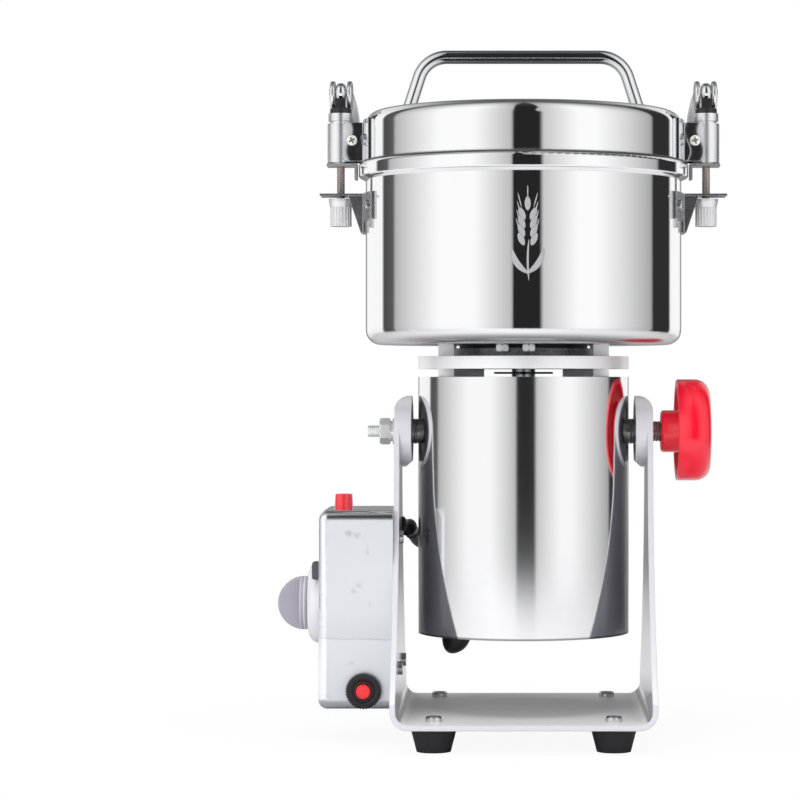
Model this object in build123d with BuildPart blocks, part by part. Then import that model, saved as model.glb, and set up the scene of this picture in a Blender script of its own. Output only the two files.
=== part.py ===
from build123d import *
import os
from math import atan2, cos, degrees, pi, radians, sin, sqrt, tan

# Electric grain mill that swings on a yoke stand. Millimetres, +Z up, -Y is the front.
# The origin is on the floor below the middle of the overall width. The bowl, motor and lid stand
# on the mill's own upright axis, which is mill_x to the right of it, and swing about the pivot, a
# level line along X. Positions across the mill are counted from the mill's axis.

os.makedirs("parts", exist_ok=True)

# ---- clearances
run_gap = 0.05        # radial, for a shaft or pin that turns in its hole
slip_gap = 0.15       # radial, for a fastener in a plain hole
move_gap = 0.3        # between pieces that pass each other
rub_gap = 0.1         # between flat faces that turn on each other

# ---- stand
foot_height = 11.8
foot_top_radius = 11.45
foot_bottom_radius = 8.4
foot_across = 88.0            # centre to centre along X
foot_along = 110.0            # centre to centre along Y
foot_screw_radius = 2.0
foot_recess_wall = 1.2        # around the nut in a foot
foot_recess_spare = 1.0       # depth left under the nut
sheet = 2.8                   # thickness of the yoke's bent sheet
yoke_width = 130.0            # over the outsides of the arms
yoke_depth = 144.0
yoke_bend = 9.0               # outer radius of the two bends
arm_toe = 10.0                # full-depth height of the arms above the base
arm_waist_drop = 30.4         # the arms' narrow place, below the pivot
arm_waist_depth = 40.0
arm_hollow = 9.0              # how far the arms' edges curve in
pivot_height = 155.4
dish_radius = 18.0            # round top of the arms
dish_depth = 8.6              # over its turned-in flange
dish_round = 7.0              # of the dish's outer corner, at its top
flange_low_start = 15.0       # where the flange's free edge slopes away, below the pivot
flange_low_end = 20.5         # where the slope would meet the arm, below the pivot

# ---- motor
sleeve_radius = 53.35
sleeve_wall = 0.8
sleeve_length = 129.4
sleeve_below_pivot = 101.8
cover_inset = 1.0
cover_thickness = 2.0
bearing_radius = 14.0
bearing_height = 8.0
bearing_wall = 4.0            # casting around a bearing
bearing_shield = 2.5          # width of each race beside the sunk shield
bearing_sink = 0.6
shaft_radius = 6.0
stator_height = 55.0
stator_radius = 51.9
stator_inner_radius = 43.0
stator_above_cover = 31.5
air_gap = 0.6
armature_radius = 29.8
pole_width = 29.6
pole_shoe = 2.6
coil_width = 6.0
coil_thickness = 3.0
coil_round = 4.0
winding_round = 3.0
winding_overhang = 7.0
commutator_radius = 14.0
commutator_height = 12.0
commutator_above_cover = 11.9
brush_length = 14.0
brush_width = 6.0
brush_height = 7.0
holder_wall = 1.4
holder_reach = 42.0
holder_gap = 1.5              # between the holder and the commutator
holder_foot = 10.0            # width of the post under each holder
fan_radius = 38.0
fan_above_stator = 16.0
fan_height = 11.0
fan_blades = 11
fan_disc = 1.5                # thickness of its disc
fan_hub_wall = 3.0
post_across = 77.0            # centre to centre of the four posts
post_along = 56.0
long_bolt_radius = 2.0
bell_gap = 4.0                # open slit between the sleeve and the end bell
bell_thickness = 6.3
post_width = 7.9
drum_radius = 35.0
drum_height = 4.1
slinger_radius = 15.0
slinger_thickness = 1.0
bell_rib_length = 15.0        # two ribs below the end bell
bell_rib_width = 20.0
bell_shaft_gap = 2.0          # around the shaft where it passes the bell
vent_count = 6                # in each half of the base cover
vent_spread = 80.0
vent_width = 3.6
vent_margin = 8.0             # solid stretch at each end of a vent
long_bolt_head = 0.8
winding_step = 2.0            # of the winding's ends, in from the armature and out from the shaft
shaft_end_gap = 0.4           # between the shaft's foot and the base cover

# ---- pivots
bolt_radius = 3.0             # left pivot bolt
bolt_end = 79.0
bolt_head_flats = 10.0
nut_flats = 11.6
nut_height = 5.4
washer_radius = 6.5
washer_thickness = 1.2
stud_radius = 5.25            # right pivot stud, which carries the lock knob
stud_head_flats = 17.0
stud_head_height = 6.0
knob_start = 69.6             # distance of the knob's hub from the mill's axis
knob_hub_radius = 10.65
knob_lobe_offset = 12.0
knob_lobe_radius = 15.5
knob_middle_radius = 18.975   # round middle that joins the lobes
knob_cup_start = 77.5
knob_cup_depth = 17.7
knob_shoulder = 7.0
knob_hub_round = 1.5
knob_wall = 3.0

# ---- bowl
gasket_thickness = 1.8
gasket_radius = 32.5
bowl_wall = 1.5
bowl_floor = 2.0
bowl_depth = 91.8
bowl_bottom_round = 7.5
rim_radius = 83.5
rim_overhang = 3.5            # of the rolled rim, beyond the bowl's wall
rim_band = 7.0
rim_flare = 1.7
rim_top_round = 1.6
rim_flare_round = 1.2
seal_radius = 11.0
seal_gap = 2.0                # between the seal and the bowl's gasket
seal_edge = 1.5               # of its lip, beyond the seal
seal_round = 1.0
seal_lip = 2.5
bowl_screw_circle = 24.0
bowl_screw_radius = 2.0

# ---- blades
thread_radius = 5.0           # shaft above the bowl's floor
blade_reach = 64.0
blade_root = 22.0
blade_tip = 13.0
blade_thickness = 2.5
lower_blade_height = 10.0     # above the bowl's floor
upper_blade_height = 22.0
blade_nut_height = 8.0
blade_nut_flats = 17.0

# ---- lid
lid_height = 25.1
lid_wall = 1.2
lid_shoulder = 6.5
lid_lip_width = 6.0           # of the flat ring under the lid
lid_gasket_edge = 1.5         # of the gasket, beyond the lid
lid_gasket_thickness = 0.8
handle_radius = 3.4
handle_feet = 117.6           # centre to centre
handle_rise = 31.7            # over the lid's top
handle_lean = 18.0            # degrees
handle_bend = 14.6
handle_stud_radius = 2.5

# ---- clamps, one on each side
hinge_beyond_rim = 3.1        # clamp's hinge screw, outward of the bowl's rim
rod_offset = 6.1              # rod's axis, outward of the hinge screw
hinge_above_lid_seat = 10.4
hinge_screw_radius = 1.5
hinge_boss_radius = 3.2
barrel_radius = 6.8
barrel_up = 9.1               # above the hinge screw
barrel_down = 10.7            # below it
collar_radius = 6.35
collar_height = 3.8
collar_neck = 1.3
neck_step = 1.0               # of the neck, in from the collar
tongue_neck_step = 2.0        # of the neck above the tongue, in from the collar
cap_radius = 5.6
cap_height = 3.0
lug_reach = 4.4               # beyond the hinge screw
lug_thickness = 1.5
lug_shoulder = 1.0            # of the lid bracket's plate, above the lugs
bracket_plate = 1.6
lid_bracket_width = 50.0
bowl_bracket_width = 60.0
bowl_bracket_height = 13.8
bracket_shelf = 1.0
shelf_drop = 27.8             # shelf's underside, below the hinge screw
shelf_reach = 16.3            # shelf's end, outward of the hinge screw
shelf_width = 19.0
leg_below_plate = 6.0         # of the shelf's leg, below the bowl bracket's plate
rod_slot_gap = 0.8            # on each side of the rod, in the shelf's slot
gusset_overlap = 2.0          # of the gusset, inward of the nut's collar
gusset_foot = 0.6             # of the gusset's lower end, outward of the plate
rivet_radius = 1.6
lid_rivet_spacing = 31.0
bowl_rivet_spacing = 44.0
rod_radius = 2.1
rod_end_drop = 42.0           # rod's lower end, below the hinge screw
eye_radius = 4.6
eye_thickness = 5.0
ear_thickness = 2.8
ear_gap = 0.4                 # between the eye and each ear
cam_radius = 8.0
cam_offset = 5.2              # cam's centre, behind the lever's pin
ear_top = 5.2                 # above the lever's pin
lever_pin_radius = 1.4
lever_length = 46.0
lever_droop = 19.0
lever_thickness = 2.2
lever_tip_width = 15.0
swing_angle = 32.0            # degrees that a clamp swings out
nut_collar_radius = 6.1
nut_collar_height = 1.2
nut_radius = 5.45
nut_length = 12.8
nut_flutes = 20
flute_radius = 0.55
flute_out = 0.1               # of a flute's centre, beyond the nut
tongue_thickness = 1.5        # hook below the bowl's rim
tongue_width = 12.0
tongue_lip = 6.5
tongue_lip_thickness = 1.2
tongue_gap = 0.6              # below the barrel
hook_gap = 0.8                # between the hook and the bowl's rim

# ---- switch box
box_width = 37.4              # along X, outward of the left arm
box_depth = 60.0
box_height = 99.0
box_above_floor = 17.4
box_wall = 1.2
box_round = 5.0
box_edge_round = 4.5          # of the edges of its broad outer side
box_screw_radius = 1.75
dial_drop = 48.0              # dial's centre, below the top of the box
bezel_radius = 20.5
bezel_thickness = 6.6
bezel_round = 6.0
dial_radius = 13.4
dial_skirt = 3.6
dial_fin_width = 6.5
dial_shaft_radius = 3.0
dial_hole_gap = 1.0           # around the shaft, in the box and the bezel
dial_round = 1.2
timer_size = 32.0
timer_length = 20.0
timer_round = 2.5
block_length = 30.0           # terminal block
block_height = 12.0
block_depth = 11.0
block_behind = 8.0            # behind the box's middle
block_drop = 18.0             # below the box's middle
block_screw_spacing = 9.0
block_screw_radius = 2.2
block_screw_depth = 5.0
rocker_height = 9.2
rocker_width = 6.0
rocker_reach = 4.0
rocker_notch = 1.4
rocker_depth = 4.0            # behind its pivot
rocker_forward = 20.0         # rocker's centre, in front of the box's middle
rocker_above_dial = 17.6
lamp_radius = 4.75
lamp_height = 7.2
lamp_round = 0.6
lamp_taper = 3.0              # degrees
lamp_seat_step = 0.9          # of its seat in the box, in from the lens
lamp_inset = 26.2             # lamp's centre, outward of the arm
breaker_inset = 14.5
breaker_above_floor = 26.9
breaker_ring_radius = 8.55
breaker_ring_thickness = 3.0
breaker_bush_radius = 5.2
breaker_bush_length = 4.4
breaker_flutes = 36
breaker_flute_radius = 0.35
button_radius = 3.6
button_reach = 2.4
button_travel = 1.8
button_round = 0.8
gland_bore = 3.6
gland_radius = 7.5
gland_length = 14.0
gland_above_floor = 34.0
gland_step = 1.2              # of the tail, in from the flange
gland_round = 1.5
gland_inside = 4.0            # length of its neck inside the box
gland_nut = 3.0
gland_neck_step = 2.0         # of the neck, in from the flange

elbow_radius = 3.9
elbow_length = 11.0           # from its corner to its mouth

# ---- motor cable: the route's points, from the mill's axis, between the two cable glands
cable_radius = 2.75
base_gland_reach = 9.0        # of the motor's gland, backwards from its corner
base_gland_wall = 1.6
base_gland_head = 2.0         # of its head inside the cover
base_gland_edge = 1.5         # of that head, beyond the hole
bend_spare = 0.4              # of a gland's bend, beyond its own radius
cable_route = [
    (-57.4, 27.5, 102.5),
    (-56.0, 42.0, 95.5),
    (-44.0, 58.0, 95.0),
    (-27.0, 66.5, 97.0),
    (-10.0, 70.0, 97.0),
    (1.0, 72.0, 86.0),
    (1.0, 72.0, 70.0),
    (-10.0, 70.0, 59.5),
    (-28.0, 64.0, 57.5),
    (-38.0, 48.0, 47.5),
    (-37.0, 30.0, 46.0),
    (-37.0, 16.0, 46.0),
]

# ---- heights and places that follow
base_top = foot_height + sheet
sleeve_bottom = pivot_height - sleeve_below_pivot
sleeve_top = sleeve_bottom + sleeve_length
sleeve_bore = sleeve_radius - sleeve_wall
cover_bottom = sleeve_bottom + cover_inset
cover_top = cover_bottom + cover_thickness
stator_bottom = cover_top + stator_above_cover
stator_top = stator_bottom + stator_height
fan_bottom = stator_top + fan_above_stator
bell_bottom = sleeve_top + bell_gap
bell_top = bell_bottom + bell_thickness
drum_top = bell_top + drum_height
upper_bearing = drum_top - bearing_height
bowl_bottom = drum_top + gasket_thickness
floor_top = bowl_bottom + bowl_floor
rim_top = bowl_bottom + bowl_depth
lid_seat = rim_top + rub_gap + lid_gasket_thickness
lid_top = lid_seat + lid_height
hinge_height = lid_seat + hinge_above_lid_seat
shelf_bottom = hinge_height - shelf_drop
cap_top = hinge_height + barrel_up + collar_neck + collar_height + cap_height
lever_pin_height = cap_top + cam_radius
bowl_radius = rim_radius - rim_overhang
lid_radius = bowl_radius
lid_lip_radius = lid_radius - lid_lip_width
pivot_reach = rim_radius + hinge_beyond_rim   # clamp's hinge screw, from the mill's axis
rod_reach = pivot_reach + rod_offset
rod_drop = cam_offset - 0.2                # how far the rod comes down as its lever lifts
arm_outside = yoke_width / 2
arm_inside = arm_outside - sheet
box_bottom = box_above_floor
box_top = box_bottom + box_height
box_outside = arm_outside + box_width
dial_height = box_top - dial_drop
dial_base = box_outside + bezel_thickness + move_gap
dial_tip = dial_base + dial_skirt / 2 + dial_radius
mill_x = (dial_tip - (pivot_reach + shelf_reach)) / 2


def nut_drop():
    """How far the clamp's nut hangs below the hinge screw, so that it just passes under the
    shelf's end as the clamp swings out and the rod comes down in proportion."""
    deepest = 0.0
    for step in range(33):
        turn = radians(swing_angle * step / 32)
        corner_out = shelf_reach * cos(turn) - shelf_drop * sin(turn)
        corner_down = shelf_drop * cos(turn) + shelf_reach * sin(turn)
        under_nut = abs(corner_out - rod_offset) <= nut_collar_radius + move_gap
        if under_nut:
            deepest = max(deepest, corner_down - rod_drop * step / 32)
    return max(deepest, shelf_drop) + move_gap


nut_top = hinge_height - nut_drop()
nut_bottom = nut_top - nut_collar_height - nut_length


def level(height):
    """A level plane on the mill's axis."""
    return Plane(origin=(mill_x, 0, height))


def across(distance):
    """A plane that faces +X at a distance from the mill's axis: its x is Y and its y is Z."""
    return Plane(origin=(mill_x + distance, 0, 0), x_dir=(0, 1, 0), z_dir=(1, 0, 0))


def facing(depth):
    """A plane that faces the front: its x is X from the mill's axis and its y is Z."""
    return Plane(origin=(mill_x, depth, 0), x_dir=(1, 0, 0), z_dir=(0, -1, 0))


def outline(plane, *points):
    """A face with straight sides."""
    with BuildSketch(plane) as face:
        with BuildLine():
            Polyline(*points, close=True)
        make_face()
    return face.sketch


def disc(plane, radius, *centres):
    """One or more round faces."""
    with BuildSketch(plane) as face:
        with Locations(*(centres or [(0, 0)])):
            Circle(radius)
    return face.sketch


def ring(plane, outer, inner, *centres):
    """One or more ring faces."""
    with BuildSketch(plane) as face:
        with Locations(*(centres or [(0, 0)])):
            Circle(outer)
            Circle(inner, mode=Mode.SUBTRACT)
    return face.sketch


def slab(plane, wide, high, *centres):
    """One or more rectangular faces."""
    with BuildSketch(plane) as face:
        with Locations(*(centres or [(0, 0)])):
            Rectangle(wide, high)
    return face.sketch


def hexagon(plane, flats, bore, *centres):
    """One or more six-sided faces with a round hole."""
    with BuildSketch(plane) as face:
        with Locations(*(centres or [(0, 0)])):
            RegularPolygon(flats / 2, 6, major_radius=False)
            if bore:
                Circle(bore, mode=Mode.SUBTRACT)
    return face.sketch


def curved_plate(height, inner, side, width):
    """A face bent around the mill's axis, on the side of the sign given."""
    with BuildSketch(level(height)) as face:
        Circle(inner + bracket_plate)
        Circle(inner, mode=Mode.SUBTRACT)
        with Locations((side * inner, 0)):
            Rectangle(inner, width, mode=Mode.INTERSECT)
    return face.sketch


def four(spacing_x, spacing_y):
    """The corners of a rectangle."""
    return [(x * spacing_x / 2, y * spacing_y / 2) for x in (-1, 1) for y in (-1, 1)]


mill_axis = Axis((mill_x, 0, 0), (0, 0, 1))
foot_places = four(foot_across, foot_along)
post_places = four(post_across, post_along)
sides = (("left", -1), ("right", 1))
arm_screws = [(-13.0, box_top - 14.0), (-22.0, box_bottom + 20.0), (22.0, box_bottom + 20.0)]
cable_points = [Vector(mill_x + x, y, z) for x, y, z in cable_route]
elbow_corner = cable_points[0] - (cable_points[1] - cable_points[0]).normalized() * elbow_length
elbow_place = (elbow_corner.Y, elbow_corner.Z)

# ======================================================================== stand

# Yoke: one sheet bent into a U, with arms that narrow to a round dish at the pivot.
waist_height = pivot_height - arm_waist_drop
toe_height = base_top + arm_toe
edge_run = yoke_depth / 2 - arm_waist_depth / 2
edge_rise = waist_height - toe_height
edge_length = sqrt(edge_run**2 + edge_rise**2)
edge_middle = (
    (yoke_depth + arm_waist_depth) / 4 - arm_hollow * edge_rise / edge_length,
    (toe_height + waist_height) / 2 - arm_hollow * edge_run / edge_length,
)
with BuildPart() as yoke:
    with BuildSketch(Plane(origin=(mill_x, yoke_depth / 2, 0), x_dir=(1, 0, 0), z_dir=(0, -1, 0))):
        with BuildLine():
            FilletPolyline(
                (-arm_inside - sheet / 2, pivot_height + dish_radius),
                (-arm_inside - sheet / 2, foot_height + sheet / 2),
                (arm_inside + sheet / 2, foot_height + sheet / 2),
                (arm_inside + sheet / 2, pivot_height + dish_radius),
                radius=yoke_bend - sheet / 2,
            )
            offset(amount=sheet / 2, side=Side.BOTH, closed=True)
        make_face()
    extrude(amount=yoke_depth)
    with BuildSketch(across(-arm_outside)):
        with BuildLine():
            Line((-yoke_depth / 2, foot_height), (yoke_depth / 2, foot_height))
            Line((yoke_depth / 2, foot_height), (yoke_depth / 2, toe_height))
            ThreePointArc(
                (yoke_depth / 2, toe_height), edge_middle, (arm_waist_depth / 2, waist_height)
            )
            Line((arm_waist_depth / 2, waist_height), (dish_radius, pivot_height))
            RadiusArc((dish_radius, pivot_height), (-dish_radius, pivot_height), -dish_radius)
            Line((-dish_radius, pivot_height), (-arm_waist_depth / 2, waist_height))
            ThreePointArc(
                (-arm_waist_depth / 2, waist_height),
                (-edge_middle[0], edge_middle[1]),
                (-yoke_depth / 2, toe_height),
            )
            Line((-yoke_depth / 2, toe_height), (-yoke_depth / 2, foot_height))
        make_face()
    extrude(amount=yoke_width, mode=Mode.INTERSECT)
    for side in (-1, 1):
        flange = ring(across(side * arm_inside), dish_radius, dish_radius - sheet, (0, pivot_height))
        extrude(flange, amount=-side * (dish_depth - sheet))
    extrude(disc(across(-arm_outside), bolt_radius + run_gap, (0, pivot_height)),
            amount=sheet, mode=Mode.SUBTRACT)
    extrude(disc(across(arm_inside), stud_radius + run_gap, (0, pivot_height)),
            amount=sheet, mode=Mode.SUBTRACT)
    extrude(disc(level(foot_height), foot_screw_radius + slip_gap, *foot_places),
            amount=sheet, mode=Mode.SUBTRACT)
    extrude(disc(across(-arm_outside), box_screw_radius + slip_gap, *arm_screws),
            amount=sheet, mode=Mode.SUBTRACT)
    extrude(disc(across(-arm_outside), elbow_radius, elbow_place),
            amount=sheet, mode=Mode.SUBTRACT)
    # the dish is rounded at its outer top, and its flange slopes away at the bottom
    dish_top = pivot_height + dish_radius
    round_middle = dish_round * (1 - sqrt(0.5))
    for side in (-1, 1):
        with BuildSketch(facing(dish_radius)):
            with BuildLine():
                Polyline(
                    (side * (arm_outside - dish_round), dish_top),
                    (side * (arm_outside - dish_round), dish_top + sheet),
                    (side * (arm_outside + sheet), dish_top + sheet),
                    (side * (arm_outside + sheet), dish_top - dish_round),
                    (side * arm_outside, dish_top - dish_round),
                )
                ThreePointArc(
                    (side * arm_outside, dish_top - dish_round),
                    (side * (arm_outside - round_middle), dish_top - round_middle),
                    (side * (arm_outside - dish_round), dish_top),
                )
            make_face()
        extrude(amount=2 * dish_radius, mode=Mode.SUBTRACT)
        with BuildSketch(facing(dish_radius)):
            with BuildLine():
                Polyline(
                    (side * (arm_outside - dish_depth), pivot_height - flange_low_start),
                    (side * arm_inside, pivot_height - flange_low_end),
                    (side * (arm_outside - dish_depth), pivot_height - flange_low_end),
                    close=True,
                )
            make_face()
        extrude(amount=2 * dish_radius, mode=Mode.SUBTRACT)
yoke.part.label = "yoke"
export_step(yoke.part, "parts/yoke.step")

# Feet: tapered rubber, each with a recess for its nut.
foot_taper = -degrees(atan2(foot_top_radius - foot_bottom_radius, foot_height))
foot_nut_flats = 3.5 * foot_screw_radius
foot_nut_height = 1.6 * foot_screw_radius
foot_recess = foot_nut_height + foot_recess_spare
with BuildPart() as rubber_feet:
    extrude(disc(level(0), foot_bottom_radius, *foot_places), amount=foot_height, taper=foot_taper)
    extrude(disc(level(0), foot_nut_flats / 2 + foot_recess_wall, *foot_places),
            amount=foot_recess, mode=Mode.SUBTRACT)
    extrude(disc(level(0), foot_screw_radius + slip_gap, *foot_places),
            amount=foot_height, mode=Mode.SUBTRACT)
rubber_feet.part.label = "rubber_feet"
export_step(rubber_feet.part, "parts/rubber_feet.step")

# Fasteners of the stand: foot screws with nuts, and the screws that hold the switch box.
with BuildPart() as stand_fasteners:
    extrude(disc(level(base_top), 2 * foot_screw_radius, *foot_places), amount=1.3 * foot_screw_radius)
    fillet(stand_fasteners.edges().group_by(Axis.Z)[-1], radius=0.5 * foot_screw_radius)
    extrude(disc(level(base_top), foot_screw_radius, *foot_places), amount=foot_recess_spare - base_top)
    nut_base = foot_recess - foot_nut_height
    extrude(hexagon(level(nut_base), foot_nut_flats, foot_screw_radius, *foot_places),
            amount=foot_nut_height)
    extrude(disc(across(-arm_inside), 1.9 * box_screw_radius, *arm_screws), amount=box_screw_radius)
    extrude(disc(across(-arm_inside), box_screw_radius, *arm_screws),
            amount=-sheet - 2 * box_wall)
stand_fasteners.part.label = "stand_fasteners"
export_step(stand_fasteners.part, "parts/stand_fasteners.step")

# ======================================================================== switch box

box_middle = -(arm_outside + box_width / 2)
box_level = (box_bottom + box_top) / 2
lamp_place = (-(arm_outside + lamp_inset), 0)
breaker_place = (-(arm_outside + breaker_inset), breaker_above_floor)
gland_place = (box_middle, gland_above_floor)
rocker_level = dial_height + rocker_above_dial
gland_neck = gland_radius - gland_neck_step
lamp_seat_radius = lamp_radius - lamp_seat_step
with BuildPart() as switch_box:
    with BuildSketch(across(-arm_outside)):
        with Locations((0, box_level)):
            RectangleRounded(box_depth, box_height, box_round)
    extrude(amount=-box_width)
    fillet(switch_box.edges().group_by(Axis.X)[0], radius=box_edge_round)
    offset(amount=-box_wall, openings=switch_box.faces().sort_by(Axis.X)[-1])
    extrude(disc(level(box_top - 2 * box_wall), lamp_seat_radius, lamp_place),
            amount=3 * box_wall, mode=Mode.SUBTRACT)
    extrude(disc(facing(-box_depth / 2 + 2 * box_wall), breaker_bush_radius, breaker_place),
            amount=3 * box_wall, mode=Mode.SUBTRACT)
    extrude(disc(facing(box_depth / 2 + box_wall), gland_neck, gland_place),
            amount=3 * box_wall, mode=Mode.SUBTRACT)
    extrude(disc(across(-box_outside), dial_shaft_radius + dial_hole_gap, (0, dial_height)),
            amount=2 * box_wall, mode=Mode.SUBTRACT)
    extrude(slab(across(-box_outside - box_wall), rocker_width + 4 * slip_gap,
                 rocker_height + 8 * slip_gap, (-rocker_forward, rocker_level)),
            amount=3 * box_wall, mode=Mode.SUBTRACT)
switch_box.part.label = "switch_box"
export_step(switch_box.part, "parts/switch_box.step")

# Back plate: closes the box against the arm and takes its screws.
with BuildPart() as box_back_plate:
    with BuildSketch(across(-arm_outside)):
        with Locations((0, box_level)):
            RectangleRounded(box_depth - 2 * box_wall, box_height - 2 * box_wall,
                             box_round - box_wall)
    extrude(amount=-box_wall)
    extrude(disc(across(-arm_outside), box_screw_radius, *arm_screws),
            amount=-box_wall, mode=Mode.SUBTRACT)
    extrude(disc(across(-arm_outside), elbow_radius, elbow_place),
            amount=-box_wall, mode=Mode.SUBTRACT)
box_back_plate.part.label = "box_back_plate"
export_step(box_back_plate.part, "parts/box_back_plate.step")

# Timer: clockwork block on the box's end wall, with the shaft that carries the dial knob.
timer_face = box_outside - box_wall
with BuildPart() as timer_unit:
    extrude(slab(across(-timer_face), timer_size, timer_size, (0, dial_height)), amount=timer_length)
    fillet(timer_unit.edges().filter_by(Axis.X), radius=timer_round)
    extrude(disc(across(-timer_face), dial_shaft_radius, (0, dial_height)),
            amount=timer_face - dial_base - 2 * dial_skirt)
timer_unit.part.label = "timer_unit"
export_step(timer_unit.part, "parts/timer_unit.step")

# Bezel: rounded boss under the dial knob.
with BuildPart() as dial_bezel:
    extrude(ring(across(-box_outside), bezel_radius, dial_shaft_radius + dial_hole_gap, (0, dial_height)),
            amount=-bezel_thickness)
    fillet(dial_bezel.edges().group_by(Axis.X)[0].sort_by(SortBy.LENGTH)[-1], radius=bezel_round)
dial_bezel.part.label = "dial_bezel"
export_step(dial_bezel.part, "parts/dial_bezel.step")

# Dial knob: a skirt with a half-round grip across it.
with BuildPart() as timer_knob:
    with BuildSketch(facing(-dial_fin_width / 2)):
        with Locations((-dial_base - dial_skirt / 2, dial_height)):
            Circle(dial_radius)
        with Locations((-dial_base + dial_radius, dial_height)):
            Rectangle(2 * dial_radius, 3 * dial_radius, mode=Mode.SUBTRACT)
    extrude(amount=-dial_fin_width)
    fillet(timer_knob.edges().group_by(Axis.X)[0], radius=dial_round)
    extrude(disc(across(-dial_base), dial_radius, (0, dial_height)), amount=-dial_skirt)
    extrude(disc(across(-dial_base), dial_shaft_radius + run_gap, (0, dial_height)),
            amount=-2 * dial_skirt - move_gap, mode=Mode.SUBTRACT)
timer_knob.part.label = "timer_knob"
export_step(timer_knob.part, "parts/timer_knob.step")

# Rocker: notched switch paddle in the box's end wall.
rocker_pivot = box_outside - box_wall
with BuildPart() as rocker:
    extrude(outline(
        facing(-rocker_forward + rocker_width / 2),
        (-rocker_pivot + rocker_depth, rocker_level - rocker_height / 2),
        (-box_outside - rocker_reach, rocker_level - rocker_height / 2),
        (-box_outside - rocker_reach + rocker_notch, rocker_level),
        (-box_outside - rocker_reach, rocker_level + rocker_height / 2),
        (-rocker_pivot + rocker_depth, rocker_level + rocker_height / 2),
    ), amount=rocker_width)
rocker.part.label = "rocker"
export_step(rocker.part, "parts/rocker.step")

# Lamp: tapered lens on the box's top, with its body inside.
with BuildPart() as indicator_lamp:
    extrude(disc(level(box_top), lamp_radius, lamp_place), amount=lamp_height,
            taper=lamp_taper)
    fillet(indicator_lamp.edges().group_by(Axis.Z)[-1], radius=lamp_round)
    extrude(disc(level(box_top), lamp_seat_radius, lamp_place), amount=-3 * lamp_radius)
indicator_lamp.part.label = "indicator_lamp"
export_step(indicator_lamp.part, "parts/indicator_lamp.step")

# Breaker: body inside the box, threaded bush, fluted ring nut and its push button.
breaker_face = box_depth / 2
breaker_block = 2 * (breaker_above_floor - box_bottom - box_wall) - 2 * slip_gap
with BuildPart() as breaker_body:
    extrude(slab(facing(-breaker_face + box_round), breaker_block, breaker_block, breaker_place),
            amount=-1.2 * breaker_block)
    extrude(disc(facing(-breaker_face + box_round), breaker_bush_radius, breaker_place),
            amount=box_round + breaker_bush_length)
    with BuildSketch(facing(-breaker_face)):
        with Locations(breaker_place):
            Circle(breaker_ring_radius)
            Circle(breaker_bush_radius, mode=Mode.SUBTRACT)
            with PolarLocations(breaker_ring_radius, breaker_flutes):
                Circle(breaker_flute_radius, mode=Mode.SUBTRACT)
    extrude(amount=breaker_ring_thickness)
    extrude(disc(facing(-breaker_face - breaker_bush_length), button_radius + rub_gap, breaker_place),
            amount=-breaker_bush_length - 2 * button_radius - button_travel - move_gap,
            mode=Mode.SUBTRACT)
breaker_body.part.label = "breaker_body"
export_step(breaker_body.part, "parts/breaker_body.step")

with BuildPart() as reset_button:
    extrude(disc(facing(-breaker_face - breaker_bush_length - button_reach),
                 button_radius, breaker_place),
            amount=-button_reach - breaker_bush_length - 2 * button_radius)
    fillet(reset_button.edges().group_by(Axis.Y)[0], radius=button_round)
reset_button.part.label = "reset_button"
export_step(reset_button.part, "parts/reset_button.step")

# Terminal block on the back plate.
with BuildPart() as terminal_block:
    block_face = arm_outside + box_wall
    block_place = (block_behind, box_level - block_drop)
    extrude(slab(across(-block_face), block_length, block_height, block_place),
            amount=-block_depth)
    with BuildSketch(across(-block_face - block_depth)):
        with Locations(block_place):
            with GridLocations(block_screw_spacing, 1, 3, 1):
                Circle(block_screw_radius)
    extrude(amount=block_screw_depth, mode=Mode.SUBTRACT)
terminal_block.part.label = "terminal_block"
export_step(terminal_block.part, "parts/terminal_block.step")

# Gland: where the mains lead enters the box from behind.
with BuildPart() as cord_gland:
    gland_face = box_depth / 2
    extrude(disc(facing(gland_face), gland_radius, gland_place), amount=-gland_length / 3)
    extrude(disc(facing(gland_face), gland_radius - gland_step, gland_place), amount=-gland_length)
    fillet(cord_gland.edges().group_by(Axis.Y)[-1], radius=gland_round)
    extrude(disc(facing(gland_face), gland_neck, gland_place), amount=box_wall + gland_inside)
    extrude(disc(facing(gland_face - box_wall), gland_radius, gland_place), amount=gland_nut)
    extrude(disc(facing(gland_face - box_wall - gland_inside), gland_bore, gland_place),
            amount=-gland_length - box_wall - gland_inside, mode=Mode.SUBTRACT)
cord_gland.part.label = "cord_gland"
export_step(cord_gland.part, "parts/cord_gland.step")

# ======================================================================== motor

# Sleeve: the polished tube around the motor, drilled for the two pivots.
with BuildPart() as motor_sleeve:
    extrude(ring(level(sleeve_bottom), sleeve_radius, sleeve_bore), amount=sleeve_length)
    extrude(disc(across(-sleeve_radius), bolt_radius + slip_gap, (0, pivot_height)),
            amount=4 * sleeve_wall, mode=Mode.SUBTRACT)
    extrude(disc(across(sleeve_radius), stud_radius + slip_gap, (0, pivot_height)),
            amount=-4 * sleeve_wall, mode=Mode.SUBTRACT)
motor_sleeve.part.label = "motor_sleeve"
export_step(motor_sleeve.part, "parts/motor_sleeve.step")

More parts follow.
